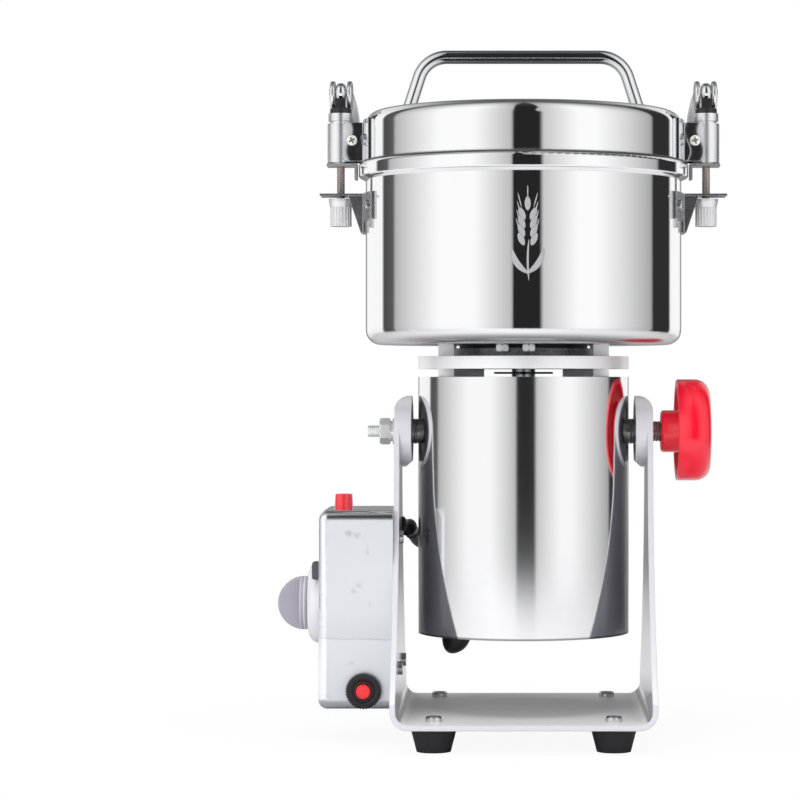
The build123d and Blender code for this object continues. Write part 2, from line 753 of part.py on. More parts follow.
# Base cover: black disc with vents, the lower bearing's seat and a hole for the cable.
hub_radius = bearing_radius + bearing_wall
base_gland_place = (cable_route[-1][0], cable_route[-1][1] - base_gland_reach)
base_gland_radius = cable_radius + base_gland_wall
vent_circle = (hub_radius + sleeve_bore) / 2
with BuildPart() as motor_base_cover:
    extrude(disc(level(cover_bottom), sleeve_bore), amount=cover_thickness)
    extrude(ring(level(cover_top), hub_radius, bearing_radius), amount=bearing_height)
    with BuildSketch(level(cover_bottom)):
        for start in (90 - vent_spread / 2, 270 - vent_spread / 2):
            with PolarLocations(vent_circle, vent_count, start_angle=start, angular_range=vent_spread):
                SlotOverall(sleeve_bore - hub_radius - 2 * vent_margin, vent_width)
    extrude(amount=cover_thickness, mode=Mode.SUBTRACT)
    extrude(disc(level(cover_bottom), long_bolt_radius, *post_places),
            amount=cover_thickness, mode=Mode.SUBTRACT)
    extrude(disc(level(cover_bottom), base_gland_radius, base_gland_place),
            amount=cover_thickness, mode=Mode.SUBTRACT)
motor_base_cover.part.label = "motor_base_cover"
export_step(motor_base_cover.part, "parts/motor_base_cover.step")

# End bell: casting that carries the bowl, with four posts, a drum and the upper bearing's seat.
with BuildPart() as end_bell:
    extrude(disc(level(bell_bottom), sleeve_radius), amount=bell_thickness)
    extrude(disc(level(bell_top), drum_radius), amount=drum_height)
    extrude(slab(level(sleeve_top), post_width, post_width, *post_places),
            amount=bowl_bottom - sleeve_top)
    rib_reach = drum_radius - bell_rib_length / 2
    extrude(slab(level(bell_bottom), bell_rib_length, bell_rib_width,
                 (-rib_reach, 0), (rib_reach, 0)), amount=-bell_gap)
    extrude(disc(level(upper_bearing), bearing_radius), amount=bearing_height, mode=Mode.SUBTRACT)
    extrude(disc(level(bell_bottom), shaft_radius + bell_shaft_gap),
            amount=bell_thickness, mode=Mode.SUBTRACT)
    extrude(disc(level(sleeve_top), long_bolt_radius, *post_places),
            amount=bell_top - sleeve_top, mode=Mode.SUBTRACT)
    with BuildSketch(level(bell_bottom)):
        with PolarLocations(bowl_screw_circle, 4, start_angle=45):
            Circle(bowl_screw_radius)
    extrude(amount=drum_top - bell_bottom, mode=Mode.SUBTRACT)
end_bell.part.label = "end_bell"
export_step(end_bell.part, "parts/end_bell.step")

# Stator: ring with two poles, drilled for the long bolts.
shoe_inner = armature_radius + air_gap
shoe_outer = shoe_inner + pole_shoe
with BuildPart() as stator_core:
    with BuildSketch(level(stator_bottom)):
        Rectangle(2 * shoe_outer, 1.55 * pole_width)
        Circle(shoe_outer, mode=Mode.INTERSECT)
        Rectangle(2 * stator_inner_radius + 2, pole_width)
        Circle(shoe_inner, mode=Mode.SUBTRACT)
        Circle(stator_radius)
        Circle(stator_inner_radius, mode=Mode.SUBTRACT)
        with Locations(*post_places):
            Circle(long_bolt_radius, mode=Mode.SUBTRACT)
    extrude(amount=stator_height)
stator_core.part.label = "stator_core"
export_step(stator_core.part, "parts/stator_core.step")

# Field windings: one rectangular coil around each pole.
coil_inside = shoe_outer + move_gap
with BuildPart() as field_windings:
    for side in (-1, 1):
        with BuildSketch(across(side * coil_inside)):
            with Locations((0, (stator_bottom + stator_top) / 2)):
                RectangleRounded(pole_width + 2 * coil_width, stator_height + 2 * coil_width,
                                 coil_round)
                Rectangle(pole_width + 2 * move_gap, stator_height + 2 * move_gap,
                          mode=Mode.SUBTRACT)
        extrude(amount=side * coil_thickness)
field_windings.part.label = "field_windings"
export_step(field_windings.part, "parts/field_windings.step")

# Bearings: the lower one in the base cover and the upper one in the end bell.
with BuildPart() as bearings:
    for seat in (cover_top, upper_bearing):
        extrude(ring(level(seat), bearing_radius, shaft_radius + run_gap), amount=bearing_height)
        for face in (seat, seat + bearing_height - bearing_sink):
            extrude(ring(level(face), bearing_radius - bearing_shield, shaft_radius + bearing_shield),
                    amount=bearing_sink, mode=Mode.SUBTRACT)
bearings.part.label = "bearings"
export_step(bearings.part, "parts/bearings.step")

# Brush gear: a holder on each side of the commutator, with its carbon brush.
commutator_bottom = cover_top + commutator_above_cover
brush_level = commutator_bottom + commutator_height / 2
brush_start = commutator_radius + run_gap
holder_start = commutator_radius + holder_gap
holder_height = brush_height + 2 * holder_wall
holder_middle = (holder_start + holder_reach) / 2
with BuildPart() as brush_gear:
    for side in (-1, 1):
        extrude(slab(level(brush_level - holder_height / 2), brush_width + 2 * holder_wall,
                     holder_reach - holder_start, (0, side * holder_middle)), amount=holder_height)
        extrude(slab(level(cover_top), brush_width + 2 * holder_wall, holder_foot,
                     (0, side * (holder_reach - holder_foot / 2))), amount=brush_level - cover_top)
        extrude(slab(level(brush_level - brush_height / 2), brush_width,
                     holder_reach, (0, side * (holder_start + holder_reach / 2))),
                amount=brush_height, mode=Mode.SUBTRACT)
    brush_gap = slip_gap / 2
    for side in (-1, 1):
        extrude(slab(level(brush_level - brush_height / 2 + brush_gap), brush_width - 2 * brush_gap,
                     brush_length, (0, side * (commutator_radius + brush_length / 2))),
                amount=brush_height - 2 * brush_gap)
    extrude(disc(level(commutator_bottom), brush_start), amount=commutator_height,
            mode=Mode.SUBTRACT)
brush_gear.part.label = "brush_gear"
export_step(brush_gear.part, "parts/brush_gear.step")

# Long bolts: four, from the base cover up through the stator into the end bell's posts.
with BuildPart() as through_bolts:
    extrude(disc(level(cover_bottom - long_bolt_head), 1.8 * long_bolt_radius, *post_places),
            amount=long_bolt_head)
    extrude(disc(level(cover_bottom), long_bolt_radius, *post_places),
            amount=bell_top - cover_bottom)
through_bolts.part.label = "through_bolts"
export_step(through_bolts.part, "parts/through_bolts.step")

# Left pivot bolt and right pivot stud, with heads that fit the inside of the sleeve.
bolt_head_height = 1.4 * bolt_radius
with BuildPart() as pivot_bolt:
    extrude(hexagon(across(-sleeve_bore), bolt_head_flats, 0, (0, pivot_height)),
            amount=bolt_head_height)
    extrude(disc(level(pivot_height - bolt_head_flats), sleeve_bore),
            amount=2 * bolt_head_flats, mode=Mode.INTERSECT)
    extrude(disc(across(-bolt_end), bolt_radius, (0, pivot_height)),
            amount=bolt_end - sleeve_bore + bolt_head_height)
pivot_bolt.part.label = "pivot_bolt"
export_step(pivot_bolt.part, "parts/pivot_bolt.step")

stud_end = knob_cup_start + knob_cup_depth / 2
with BuildPart() as pivot_stud:
    extrude(hexagon(across(sleeve_bore), stud_head_flats, 0, (0, pivot_height)),
            amount=-stud_head_height)
    extrude(disc(level(pivot_height - stud_head_flats), sleeve_bore),
            amount=2 * stud_head_flats, mode=Mode.INTERSECT)
    extrude(disc(across(stud_end), stud_radius, (0, pivot_height)),
            amount=-(stud_end - sleeve_bore + stud_head_height))
pivot_stud.part.label = "pivot_stud"
export_step(pivot_stud.part, "parts/pivot_stud.step")

# Pivot nuts: spacers between the sleeve and the arms, and the washers and nut outside.
outer_nut = arm_outside + rub_gap + 2 * washer_thickness
with BuildPart() as pivot_nuts:
    spacer_length = arm_inside - rub_gap - sleeve_bore
    extrude(ring(across(-sleeve_bore), washer_radius, bolt_radius, (0, pivot_height)),
            amount=-spacer_length)
    extrude(ring(across(sleeve_bore), washer_radius, stud_radius, (0, pivot_height)),
            amount=spacer_length)
    extrude(disc(level(pivot_height - washer_radius), sleeve_radius),
            amount=2 * washer_radius, mode=Mode.SUBTRACT)
    extrude(ring(across(-arm_outside - rub_gap), washer_radius, bolt_radius, (0, pivot_height)),
            amount=-washer_thickness)
    extrude(ring(across(-arm_outside - rub_gap - washer_thickness), 1.7 * bolt_radius, bolt_radius,
                 (0, pivot_height)), amount=-washer_thickness)
    extrude(hexagon(across(-outer_nut), nut_flats, bolt_radius, (0, pivot_height)),
            amount=-nut_height)
pivot_nuts.part.label = "pivot_nuts"
export_step(pivot_nuts.part, "parts/pivot_nuts.step")

# ======================================================================== rotor

shaft_shoulder = floor_top + lower_blade_height
shaft_top = floor_top + upper_blade_height + blade_thickness + blade_nut_height + 1.5
with BuildPart() as rotor_shaft:
    shaft_foot = cover_top + shaft_end_gap
    extrude(disc(level(shaft_foot), shaft_radius), amount=shaft_shoulder - shaft_foot)
    extrude(disc(level(shaft_shoulder), thread_radius), amount=shaft_top - shaft_shoulder)
    chamfer(rotor_shaft.edges().group_by(Axis.Z)[-1], length=0.8)
rotor_shaft.part.label = "rotor_shaft"
export_step(rotor_shaft.part, "parts/rotor_shaft.step")

slot_depth = armature_radius / 4
with BuildPart() as armature_core:
    with BuildSketch(level(stator_bottom)):
        Circle(armature_radius)
        Circle(shaft_radius, mode=Mode.SUBTRACT)
        with PolarLocations(armature_radius - slot_depth / 2, 12):
            Rectangle(slot_depth, 4, mode=Mode.SUBTRACT)
    extrude(amount=stator_height)
armature_core.part.label = "armature_core"
export_step(armature_core.part, "parts/armature_core.step")

with BuildPart() as armature_winding:
    for height in (stator_bottom, stator_top + winding_overhang):
        winding_core = shaft_radius + winding_step
        extrude(ring(level(height), armature_radius - winding_step, winding_core),
                amount=-winding_overhang)
        extrude(ring(level(height), winding_core, shaft_radius), amount=-winding_overhang)
    fillet(armature_winding.edges().group_by(Axis.Z)[0].sort_by(SortBy.LENGTH)[-1],
           radius=winding_round)
    fillet(armature_winding.edges().group_by(Axis.Z)[-1].sort_by(SortBy.LENGTH)[-1],
           radius=winding_round)
armature_winding.part.label = "armature_winding"
export_step(armature_winding.part, "parts/armature_winding.step")

with BuildPart() as commutator:
    with BuildSketch(level(commutator_bottom)):
        Circle(commutator_radius)
        Circle(shaft_radius, mode=Mode.SUBTRACT)
        with PolarLocations(commutator_radius, 24):
            Rectangle(2.0, 0.6, mode=Mode.SUBTRACT)
    extrude(amount=commutator_height)
commutator.part.label = "commutator"
export_step(commutator.part, "parts/commutator.step")

with BuildPart() as cooling_fan:
    extrude(ring(level(fan_bottom), fan_radius, shaft_radius), amount=fan_disc)
    extrude(ring(level(fan_bottom), shaft_radius + fan_hub_wall, shaft_radius),
            amount=fan_height)
    with BuildSketch(level(fan_bottom)):
        with PolarLocations(fan_radius * 0.7, fan_blades):
            Rectangle(fan_radius * 0.52, 1.5, rotation=25)
    extrude(amount=fan_height)
cooling_fan.part.label = "cooling_fan"
export_step(cooling_fan.part, "parts/cooling_fan.step")

# Collars on the shaft: the slinger in the slit, and the spacer between the blades.
blade_spacer = upper_blade_height - lower_blade_height - blade_thickness
with BuildPart() as shaft_collars:
    slinger_bottom = (sleeve_top + bell_bottom - slinger_thickness) / 2
    extrude(ring(level(slinger_bottom), slinger_radius, shaft_radius), amount=slinger_thickness)
    extrude(ring(level(shaft_shoulder + blade_thickness), 1.7 * thread_radius, thread_radius),
            amount=blade_spacer)
shaft_collars.part.label = "shaft_collars"
export_step(shaft_collars.part, "parts/shaft_collars.step")

# Blades: two crossed strips with tapered, bevelled ends.
with BuildPart() as blades:
    for height, turn in ((lower_blade_height, 25), (upper_blade_height, 115)):
        blade_plane = level(floor_top + height).rotated((0, 0, turn))
        with BuildSketch(blade_plane):
            for end in (-1, 1):
                with BuildLine():
                    Polyline((0, -blade_root / 2), (0, blade_root / 2),
                             (end * blade_reach * 0.45, blade_root / 2),
                             (end * blade_reach, blade_tip / 2),
                             (end * blade_reach, -blade_tip / 2),
                             (end * blade_reach * 0.45, -blade_root / 2), close=True)
                make_face()
            Circle(thread_radius, mode=Mode.SUBTRACT)
        extrude(amount=blade_thickness)
        edge_line = blades.edges().group_by(Axis.Z)[-1].filter_by(GeomType.LINE)
        chamfer(edge_line.sort_by(SortBy.LENGTH)[-4:], length=0.7 * blade_thickness, length2=5)
blades.part.label = "blades"
export_step(blades.part, "parts/blades.step")

with BuildPart() as blade_nut:
    nut_seat = floor_top + upper_blade_height + blade_thickness
    extrude(hexagon(level(nut_seat), blade_nut_flats, thread_radius), amount=blade_nut_height)
blade_nut.part.label = "blade_nut"
export_step(blade_nut.part, "parts/blade_nut.step")

# ======================================================================== bowl

screw_circle_places = [
    (bowl_screw_circle * cos(radians(a)), bowl_screw_circle * sin(radians(a)))
    for a in (45, 135, 225, 315)
]
with BuildPart() as bowl_gasket:
    extrude(ring(level(drum_top), gasket_radius, seal_radius + seal_gap),
            amount=gasket_thickness)
    extrude(disc(level(drum_top), bowl_screw_radius, *screw_circle_places),
            amount=gasket_thickness, mode=Mode.SUBTRACT)
bowl_gasket.part.label = "bowl_gasket"
export_step(bowl_gasket.part, "parts/bowl_gasket.step")

with BuildPart() as shaft_seal:
    extrude(ring(level(drum_top), seal_radius, shaft_radius + run_gap), amount=floor_top - drum_top)
    extrude(ring(level(floor_top), seal_radius + seal_edge, shaft_radius + run_gap),
            amount=seal_lip)
    fillet(shaft_seal.edges().group_by(Axis.Z)[-1].sort_by(SortBy.LENGTH)[-1],
           radius=seal_round)
shaft_seal.part.label = "shaft_seal"
export_step(shaft_seal.part, "parts/shaft_seal.step")

# Bowl: a drawn pot with a rolled rim, holes for its screws and for the brackets' rivets.
inner_radius = bowl_radius - bowl_wall
band_bottom = rim_top - rim_band
bowl_section = [
    (seal_radius, bowl_bottom), (bowl_radius, bowl_bottom),
    (bowl_radius, band_bottom - rim_flare), (rim_radius, band_bottom), (rim_radius, rim_top),
    (inner_radius, rim_top), (inner_radius, floor_top), (seal_radius, floor_top),
]


def spoke(side, sideways, height):
    """A plane on the mill's axis that faces outwards through a point beside the X axis."""
    bearing = sideways / lid_radius
    return Plane(origin=(mill_x, 0, height), x_dir=(0, 0, 1),
                 z_dir=(side * sqrt(1 - bearing**2), bearing, 0))


shelf_top = shelf_bottom + bracket_shelf
bowl_rivet_height = shelf_top - bowl_bracket_height / 2
lid_rivet_height = hinge_height
bracket_outside = bowl_radius + bracket_plate
bowl_spokes = [spoke(side, y, bowl_rivet_height)
               for side in (-1, 1) for y in (-bowl_rivet_spacing / 2, bowl_rivet_spacing / 2)]
lid_spokes = [spoke(side, y, lid_rivet_height)
              for side in (-1, 1) for y in (-lid_rivet_spacing / 2, lid_rivet_spacing / 2)]
with BuildPart() as bowl:
    with BuildSketch(facing(0)):
        with BuildLine():
            Polyline(*bowl_section, close=True)
        make_face()
        fillet(vertices().sort_by_distance((bowl_radius, bowl_bottom))[0], radius=bowl_bottom_round)
        fillet(vertices().sort_by_distance((inner_radius, floor_top))[0],
               radius=bowl_bottom_round - bowl_wall)
        fillet(vertices().sort_by_distance((rim_radius, rim_top))[0], radius=rim_top_round)
        fillet(vertices().sort_by_distance((rim_radius, band_bottom))[0], radius=rim_flare_round)
    revolve(axis=mill_axis)
    extrude(disc(level(bowl_bottom), bowl_screw_radius, *screw_circle_places),
            amount=bowl_floor, mode=Mode.SUBTRACT)
    for plane in bowl_spokes:
        extrude(disc(plane.offset(inner_radius - 1), rivet_radius), amount=4, mode=Mode.SUBTRACT)
bowl.part.label = "bowl"
export_step(bowl.part, "parts/bowl.step")

# Bowl brackets: curved plates with a slotted shelf that the clamp's rod drops into.
rod_slot = 2 * (rod_radius + rod_slot_gap)
with BuildPart() as bowl_brackets:
    for side in (-1, 1):
        extrude(curved_plate(shelf_top - bowl_bracket_height, bowl_radius, side, bowl_bracket_width),
                amount=bowl_bracket_height)
        leg_height = bowl_bracket_height + leg_below_plate
        extrude(curved_plate(shelf_top - leg_height, bowl_radius, side, shelf_width),
                amount=leg_height)
        shelf_end = pivot_reach + shelf_reach
        shelf_start = bowl_radius + bracket_plate / 2
        shelf_span = shelf_end - shelf_start
        extrude(slab(level(shelf_bottom), shelf_span, shelf_width,
                     (side * (shelf_start + shelf_span / 2), 0)), amount=bracket_shelf)
        slot_start = rod_reach - rod_radius - rod_slot_gap
        with BuildSketch(level(shelf_bottom)):
            with Locations((side * (slot_start + rod_slot / 2), 0)):
                Circle(rod_slot / 2)
            with Locations((side * (slot_start + rod_slot / 2 + shelf_reach / 2), 0)):
                Rectangle(shelf_reach, rod_slot)
        extrude(amount=bracket_shelf, mode=Mode.SUBTRACT)
        gusset_top = rod_reach - nut_collar_radius + gusset_overlap
        for place in (-1, 1):
            inner_face = place * (nut_collar_radius + 5 * move_gap)
            extrude(outline(
                facing(inner_face),
                (side * shelf_start, shelf_bottom), (side * gusset_top, shelf_bottom),
                (side * (bracket_outside + gusset_foot), shelf_top - leg_height),
                (side * shelf_start, shelf_top - leg_height),
            ), amount=-place * bracket_plate)
    for plane in bowl_spokes:
        extrude(disc(plane.offset(bowl_radius - 1), rivet_radius), amount=4, mode=Mode.SUBTRACT)
bowl_brackets.part.label = "bowl_brackets"
export_step(bowl_brackets.part, "parts/bowl_brackets.step")

# Fasteners of the bowl: four floor screws and the brackets' rivets.
rivet_head = 1.8 * rivet_radius
with BuildPart() as bowl_fasteners:
    extrude(disc(level(floor_top), 2 * bowl_screw_radius, *screw_circle_places),
            amount=bowl_screw_radius)
    extrude(disc(level(floor_top), bowl_screw_radius, *screw_circle_places),
            amount=-(floor_top - bell_bottom))
    for plane in bowl_spokes:
        extrude(disc(plane.offset(inner_radius), rivet_radius), amount=bowl_wall + bracket_plate)
        extrude(disc(plane.offset(bracket_outside), rivet_head), amount=0.7 * rivet_radius)
        extrude(disc(plane.offset(inner_radius - rub_gap), rivet_head), amount=-0.5 * rivet_radius)
        extrude(disc(plane.offset(inner_radius - rub_gap), rivet_radius), amount=rub_gap)
bowl_fasteners.part.label = "bowl_fasteners"
export_step(bowl_fasteners.part, "parts/bowl_fasteners.step")

# ======================================================================== lid

# Lid: a drawn cover with a rounded shoulder and a flat ring that holds its gasket.
lid_bore = lid_radius - lid_wall
with BuildPart() as lid_shell:
    with BuildSketch(facing(0)):
        with BuildLine():
            Polyline((lid_lip_radius, lid_seat), (lid_radius, lid_seat), (lid_radius, lid_top),
                     (0, lid_top), (0, lid_top - lid_wall), (lid_bore, lid_top - lid_wall),
                     (lid_bore, lid_seat + lid_wall), (lid_lip_radius, lid_seat + lid_wall),
                     close=True)
        make_face()
        fillet(vertices().sort_by_distance((lid_radius, lid_top))[0], radius=lid_shoulder)
        fillet(vertices().sort_by_distance((lid_bore, lid_top - lid_wall))[0],
               radius=lid_shoulder - lid_wall)
    revolve(axis=mill_axis)
    handle_places = [(-handle_feet / 2, 0), (handle_feet / 2, 0)]
    extrude(disc(level(lid_top), handle_stud_radius, *handle_places),
            amount=-lid_wall, mode=Mode.SUBTRACT)
    for plane in lid_spokes:
        extrude(disc(plane.offset(lid_bore - 1), rivet_radius), amount=4, mode=Mode.SUBTRACT)
lid_shell.part.label = "lid_shell"
export_step(lid_shell.part, "parts/lid_shell.step")

# Lid gasket: a flat ring on the bowl's rim, with a lip inside it.
lip_radius = inner_radius - move_gap
with BuildPart() as lid_gasket:
    extrude(ring(level(lid_seat), lid_radius + lid_gasket_edge, lid_lip_radius),
            amount=-lid_gasket_thickness)
    extrude(ring(level(lid_seat), lip_radius, lid_lip_radius), amount=-5 * lid_gasket_thickness)
lid_gasket.part.label = "lid_gasket"
export_step(lid_gasket.part, "parts/lid_gasket.step")

# Handle: one bent bar that leans inwards, with a threaded end at each foot.
handle_top = lid_top + handle_rise - handle_radius
lean_run = (handle_top - lid_top) * tan(radians(handle_lean))
with BuildPart() as lid_handle:
    with BuildLine(facing(0)) as handle_route:
        FilletPolyline((-handle_feet / 2, lid_top), (-handle_feet / 2 + lean_run, handle_top),
                       (handle_feet / 2 - lean_run, handle_top), (handle_feet / 2, lid_top),
                       radius=handle_bend)
    with BuildSketch(Plane(origin=handle_route.line @ 0, z_dir=handle_route.line % 0)):
        Circle(handle_radius)
    sweep()
    extrude(slab(level(lid_top - 2 * handle_radius), 2 * lid_radius, 4 * handle_radius),
            amount=2 * handle_radius, mode=Mode.SUBTRACT)
    extrude(disc(level(lid_top), handle_stud_radius, *handle_places),
            amount=-lid_wall - 3 * handle_stud_radius)
lid_handle.part.label = "lid_handle"
export_step(lid_handle.part, "parts/lid_handle.step")

# Lid brackets: a curved plate with two lugs on each side, which carry the clamp's hinge screw.
lug_inner = barrel_radius + move_gap
lug_outer = lug_inner + lug_thickness
lug_bottom = hinge_height - barrel_down + move_gap
lug_top = hinge_height + barrel_up
lid_bracket_height = lug_top - lid_seat + lug_shoulder
lug_start = lid_radius + bracket_plate / 2
lug_span = pivot_reach + lug_reach - lug_start
with BuildPart() as lid_brackets:
    for side in (-1, 1):
        extrude(curved_plate(lid_seat, lid_radius, side, lid_bracket_width),
                amount=lid_bracket_height)
        notch_bottom = hinge_height + hinge_boss_radius / 2
        extrude(slab(level(notch_bottom), 4 * bracket_plate, 2 * lug_inner,
                     (side * (lid_radius + bracket_plate), 0)),
                amount=lid_bracket_height, mode=Mode.SUBTRACT)
        for place in (-1, 1):
            extrude(slab(facing(place * lug_inner), lug_span, lug_top - lug_bottom,
                         (side * (lug_start + lug_span / 2), (lug_top + lug_bottom) / 2)),
                    amount=-place * lug_thickness)
        extrude(disc(facing(-lug_outer), hinge_screw_radius, (side * pivot_reach, hinge_height)),
                amount=-2 * lug_outer, mode=Mode.SUBTRACT)
    outer_corners = lid_brackets.edges().filter_by(Axis.Y).filter_by(
        lambda edge: abs(edge.center().X - mill_x) > pivot_reach + lug_reach - 0.1)
    fillet(outer_corners, radius=lug_reach / 2)
    for plane in lid_spokes:
        extrude(disc(plane.offset(lid_radius - 1), rivet_radius), amount=4, mode=Mode.SUBTRACT)
lid_brackets.part.label = "lid_brackets"
export_step(lid_brackets.part, "parts/lid_brackets.step")

# Fasteners of the lid: bracket rivets, hinge screws with nuts, and the handle's nuts.
hinge_nut_height = 1.5 * hinge_screw_radius
handle_nut_flats = 3.2 * handle_stud_radius
with BuildPart() as lid_fasteners:
    for plane in lid_spokes:
        extrude(disc(plane.offset(lid_bore), rivet_radius), amount=lid_wall + bracket_plate)
        extrude(disc(plane.offset(lid_radius + bracket_plate), rivet_head),
                amount=0.7 * rivet_radius)
        extrude(disc(plane.offset(lid_bore - rub_gap), rivet_head), amount=-0.5 * rivet_radius)
        extrude(disc(plane.offset(lid_bore - rub_gap), rivet_radius), amount=rub_gap)
    for side in (-1, 1):
        hinge_place = (side * pivot_reach, hinge_height)
        extrude(disc(facing(-lug_outer), 1.8 * hinge_screw_radius, hinge_place),
                amount=hinge_screw_radius)
        extrude(disc(facing(-lug_outer), hinge_screw_radius, hinge_place),
                amount=-2 * lug_outer - hinge_nut_height)
        extrude(hexagon(facing(lug_outer), 3.4 * hinge_screw_radius, 0, hinge_place),
                amount=-hinge_nut_height)
    extrude(hexagon(level(lid_top - lid_wall), handle_nut_flats, handle_stud_radius,
                    *handle_places), amount=-2 * handle_stud_radius)
lid_fasteners.part.label = "lid_fasteners"
export_step(lid_fasteners.part, "parts/lid_fasteners.step")

# ======================================================================== clamps

barrel_top = hinge_height + barrel_up
barrel_bottom = hinge_height - barrel_down
rod_bore = rod_radius + run_gap
tongue_top = barrel_bottom - tongue_gap
tongue_bottom = tongue_top - tongue_thickness
tongue_start = rim_radius + hook_gap
tongue_end = rod_reach + barrel_radius
collar_bottom = barrel_top + collar_neck
cap_bottom = collar_bottom + collar_height
ear_inner = eye_thickness / 2 + ear_gap
ear_outer = ear_inner + ear_thickness
lever_start = cam_offset + cam_radius / 2

for name, side in sides:
    rod_place = (side * rod_reach, 0)
    pin_place = (0, lever_pin_height)

    # Barrel: turns on the hinge screw and guides the rod; its tongue hooks below the rim.
    with BuildPart() as clamp_barrel:
        extrude(disc(level(barrel_bottom), barrel_radius, rod_place),
                amount=barrel_up + barrel_down)
        extrude(disc(facing(-barrel_radius), hinge_boss_radius, (side * pivot_reach, hinge_height)),
                amount=-2 * barrel_radius)
        extrude(disc(level(barrel_top), collar_radius - neck_step, rod_place), amount=collar_neck)
        extrude(disc(level(collar_bottom), collar_radius, rod_place), amount=collar_height)
        extrude(disc(level(tongue_top), collar_radius - tongue_neck_step, rod_place),
                amount=barrel_bottom - tongue_top)
        extrude(slab(level(tongue_bottom), tongue_end - tongue_start, tongue_width,
                     (side * (tongue_start + tongue_end) / 2, 0)), amount=tongue_thickness)
        extrude(slab(level(tongue_bottom - tongue_lip), tongue_lip_thickness, tongue_width,
                     (side * (tongue_start + tongue_lip_thickness / 2), 0)), amount=tongue_lip)
        extrude(disc(level(tongue_bottom), rod_bore, rod_place),
                amount=cap_bottom - tongue_bottom, mode=Mode.SUBTRACT)
        extrude(disc(facing(-barrel_radius), hinge_screw_radius + run_gap,
                     (side * pivot_reach, hinge_height)),
                amount=-2 * barrel_radius, mode=Mode.SUBTRACT)
    clamp_barrel.part.label = f"clamp_barrel_{name}"
    export_step(clamp_barrel.part, f"parts/clamp_barrel_{name}.step")

    # Cap: black wear pad that the lever's cams press on, with a pocket for the rod's eye, which
    # comes down into it as the lever lifts.
    with BuildPart() as clamp_cap:
        extrude(disc(level(cap_bottom), cap_radius, rod_place), amount=cap_height)
        fillet(clamp_cap.edges().group_by(Axis.Z)[-1], radius=0.4 * cap_height)
        extrude(disc(level(cap_bottom), rod_bore, rod_place),
                amount=cap_height, mode=Mode.SUBTRACT)
        pocket_plane = across(side * rod_reach - eye_thickness / 2 - move_gap)
        extrude(disc(pocket_plane, eye_radius + move_gap, (0, lever_pin_height - rod_drop)),
                amount=eye_thickness + 2 * move_gap, mode=Mode.SUBTRACT)
    clamp_cap.part.label = f"clamp_cap_{name}"
    export_step(clamp_cap.part, f"parts/clamp_cap_{name}.step")

    # Rod: threaded below, with an eye for the lever's pin.
    with BuildPart() as clamp_rod:
        extrude(disc(level(hinge_height - rod_end_drop), rod_radius, rod_place),
                amount=lever_pin_height - hinge_height + rod_end_drop)
        eye_plane = across(side * rod_reach - eye_thickness / 2)
        extrude(disc(eye_plane, eye_radius, pin_place), amount=eye_thickness)
        extrude(disc(eye_plane, lever_pin_radius + run_gap, pin_place),
                amount=eye_thickness, mode=Mode.SUBTRACT)
    clamp_rod.part.label = f"clamp_rod_{name}"
    export_step(clamp_rod.part, f"parts/clamp_rod_{name}.step")

    # Lever: two cam ears on a pin, and a drooping handle behind them.
    with BuildPart() as clamp_lever:
        with BuildSketch(across(side * rod_reach - lever_tip_width / 2)):
            with BuildLine():
                ThreePointArc((lever_start, lever_pin_height + 1.0),
                              (lever_length * 0.6, lever_pin_height - lever_droop * 0.35),
                              (lever_length, lever_pin_height - lever_droop))
            trace(line_width=lever_thickness)
        extrude(amount=lever_tip_width)
        middle = side * rod_reach
        extrude(outline(
            level(lever_pin_height - 2 * lever_droop),
            (middle - ear_outer, 0), (middle + ear_outer, 0),
            (middle + ear_outer, lever_length * 0.3),
            (middle + lever_tip_width / 2, lever_length * 0.75),
            (middle + lever_tip_width / 2, lever_length * 1.1),
            (middle - lever_tip_width / 2, lever_length * 1.1),
            (middle - lever_tip_width / 2, lever_length * 0.75),
            (middle - ear_outer, lever_length * 0.3),
        ), amount=4 * lever_droop, mode=Mode.INTERSECT)
        for place in (-1, 1):
            ear_plane = across(side * rod_reach + place * ear_inner)
            with BuildSketch(ear_plane):
                with Locations((cam_offset, lever_pin_height)):
                    Circle(cam_radius)
                with Locations((cam_offset, lever_pin_height + ear_top + cam_radius)):
                    Rectangle(4 * cam_radius, 2 * cam_radius, mode=Mode.SUBTRACT)
            extrude(amount=place * ear_thickness)
        extrude(disc(across(side * rod_reach - ear_outer), lever_pin_radius, pin_place),
                amount=2 * ear_outer)
    clamp_lever.part.label = f"clamp_lever_{name}"
    export_step(clamp_lever.part, f"parts/clamp_lever_{name}.step")

    # Washer and nut under the shelf: the nut is fluted and slightly tapered.
    with BuildPart() as clamp_washer:
        extrude(ring(level(nut_top), nut_collar_radius, rod_bore, rod_place),
                amount=-nut_collar_height)
    clamp_washer.part.label = f"clamp_washer_{name}"
    export_step(clamp_washer.part, f"parts/clamp_washer_{name}.step")

    nut_flare = nut_collar_radius - nut_radius
    with BuildPart() as clamp_nut:
        with BuildSketch(level(nut_bottom)):
            with Locations(rod_place):
                Circle(nut_radius)
                with PolarLocations(nut_radius + flute_out, nut_flutes):
                    Circle(flute_radius, mode=Mode.SUBTRACT)
        extrude(amount=nut_length - nut_collar_radius / 2)
        with BuildSketch(level(nut_top - nut_collar_height)):
            with Locations(rod_place):
                Circle(nut_collar_radius)
        flare_angle = degrees(atan2(nut_flare, nut_collar_radius / 2))
        extrude(amount=-nut_collar_radius / 2, taper=flare_angle)
        extrude(disc(level(nut_bottom), rod_bore, rod_place),
                amount=nut_length, mode=Mode.SUBTRACT)
    clamp_nut.part.label = f"clamp_nut_{name}"
    export_step(clamp_nut.part, f"parts/clamp_nut_{name}.step")

# ======================================================================== lock knob

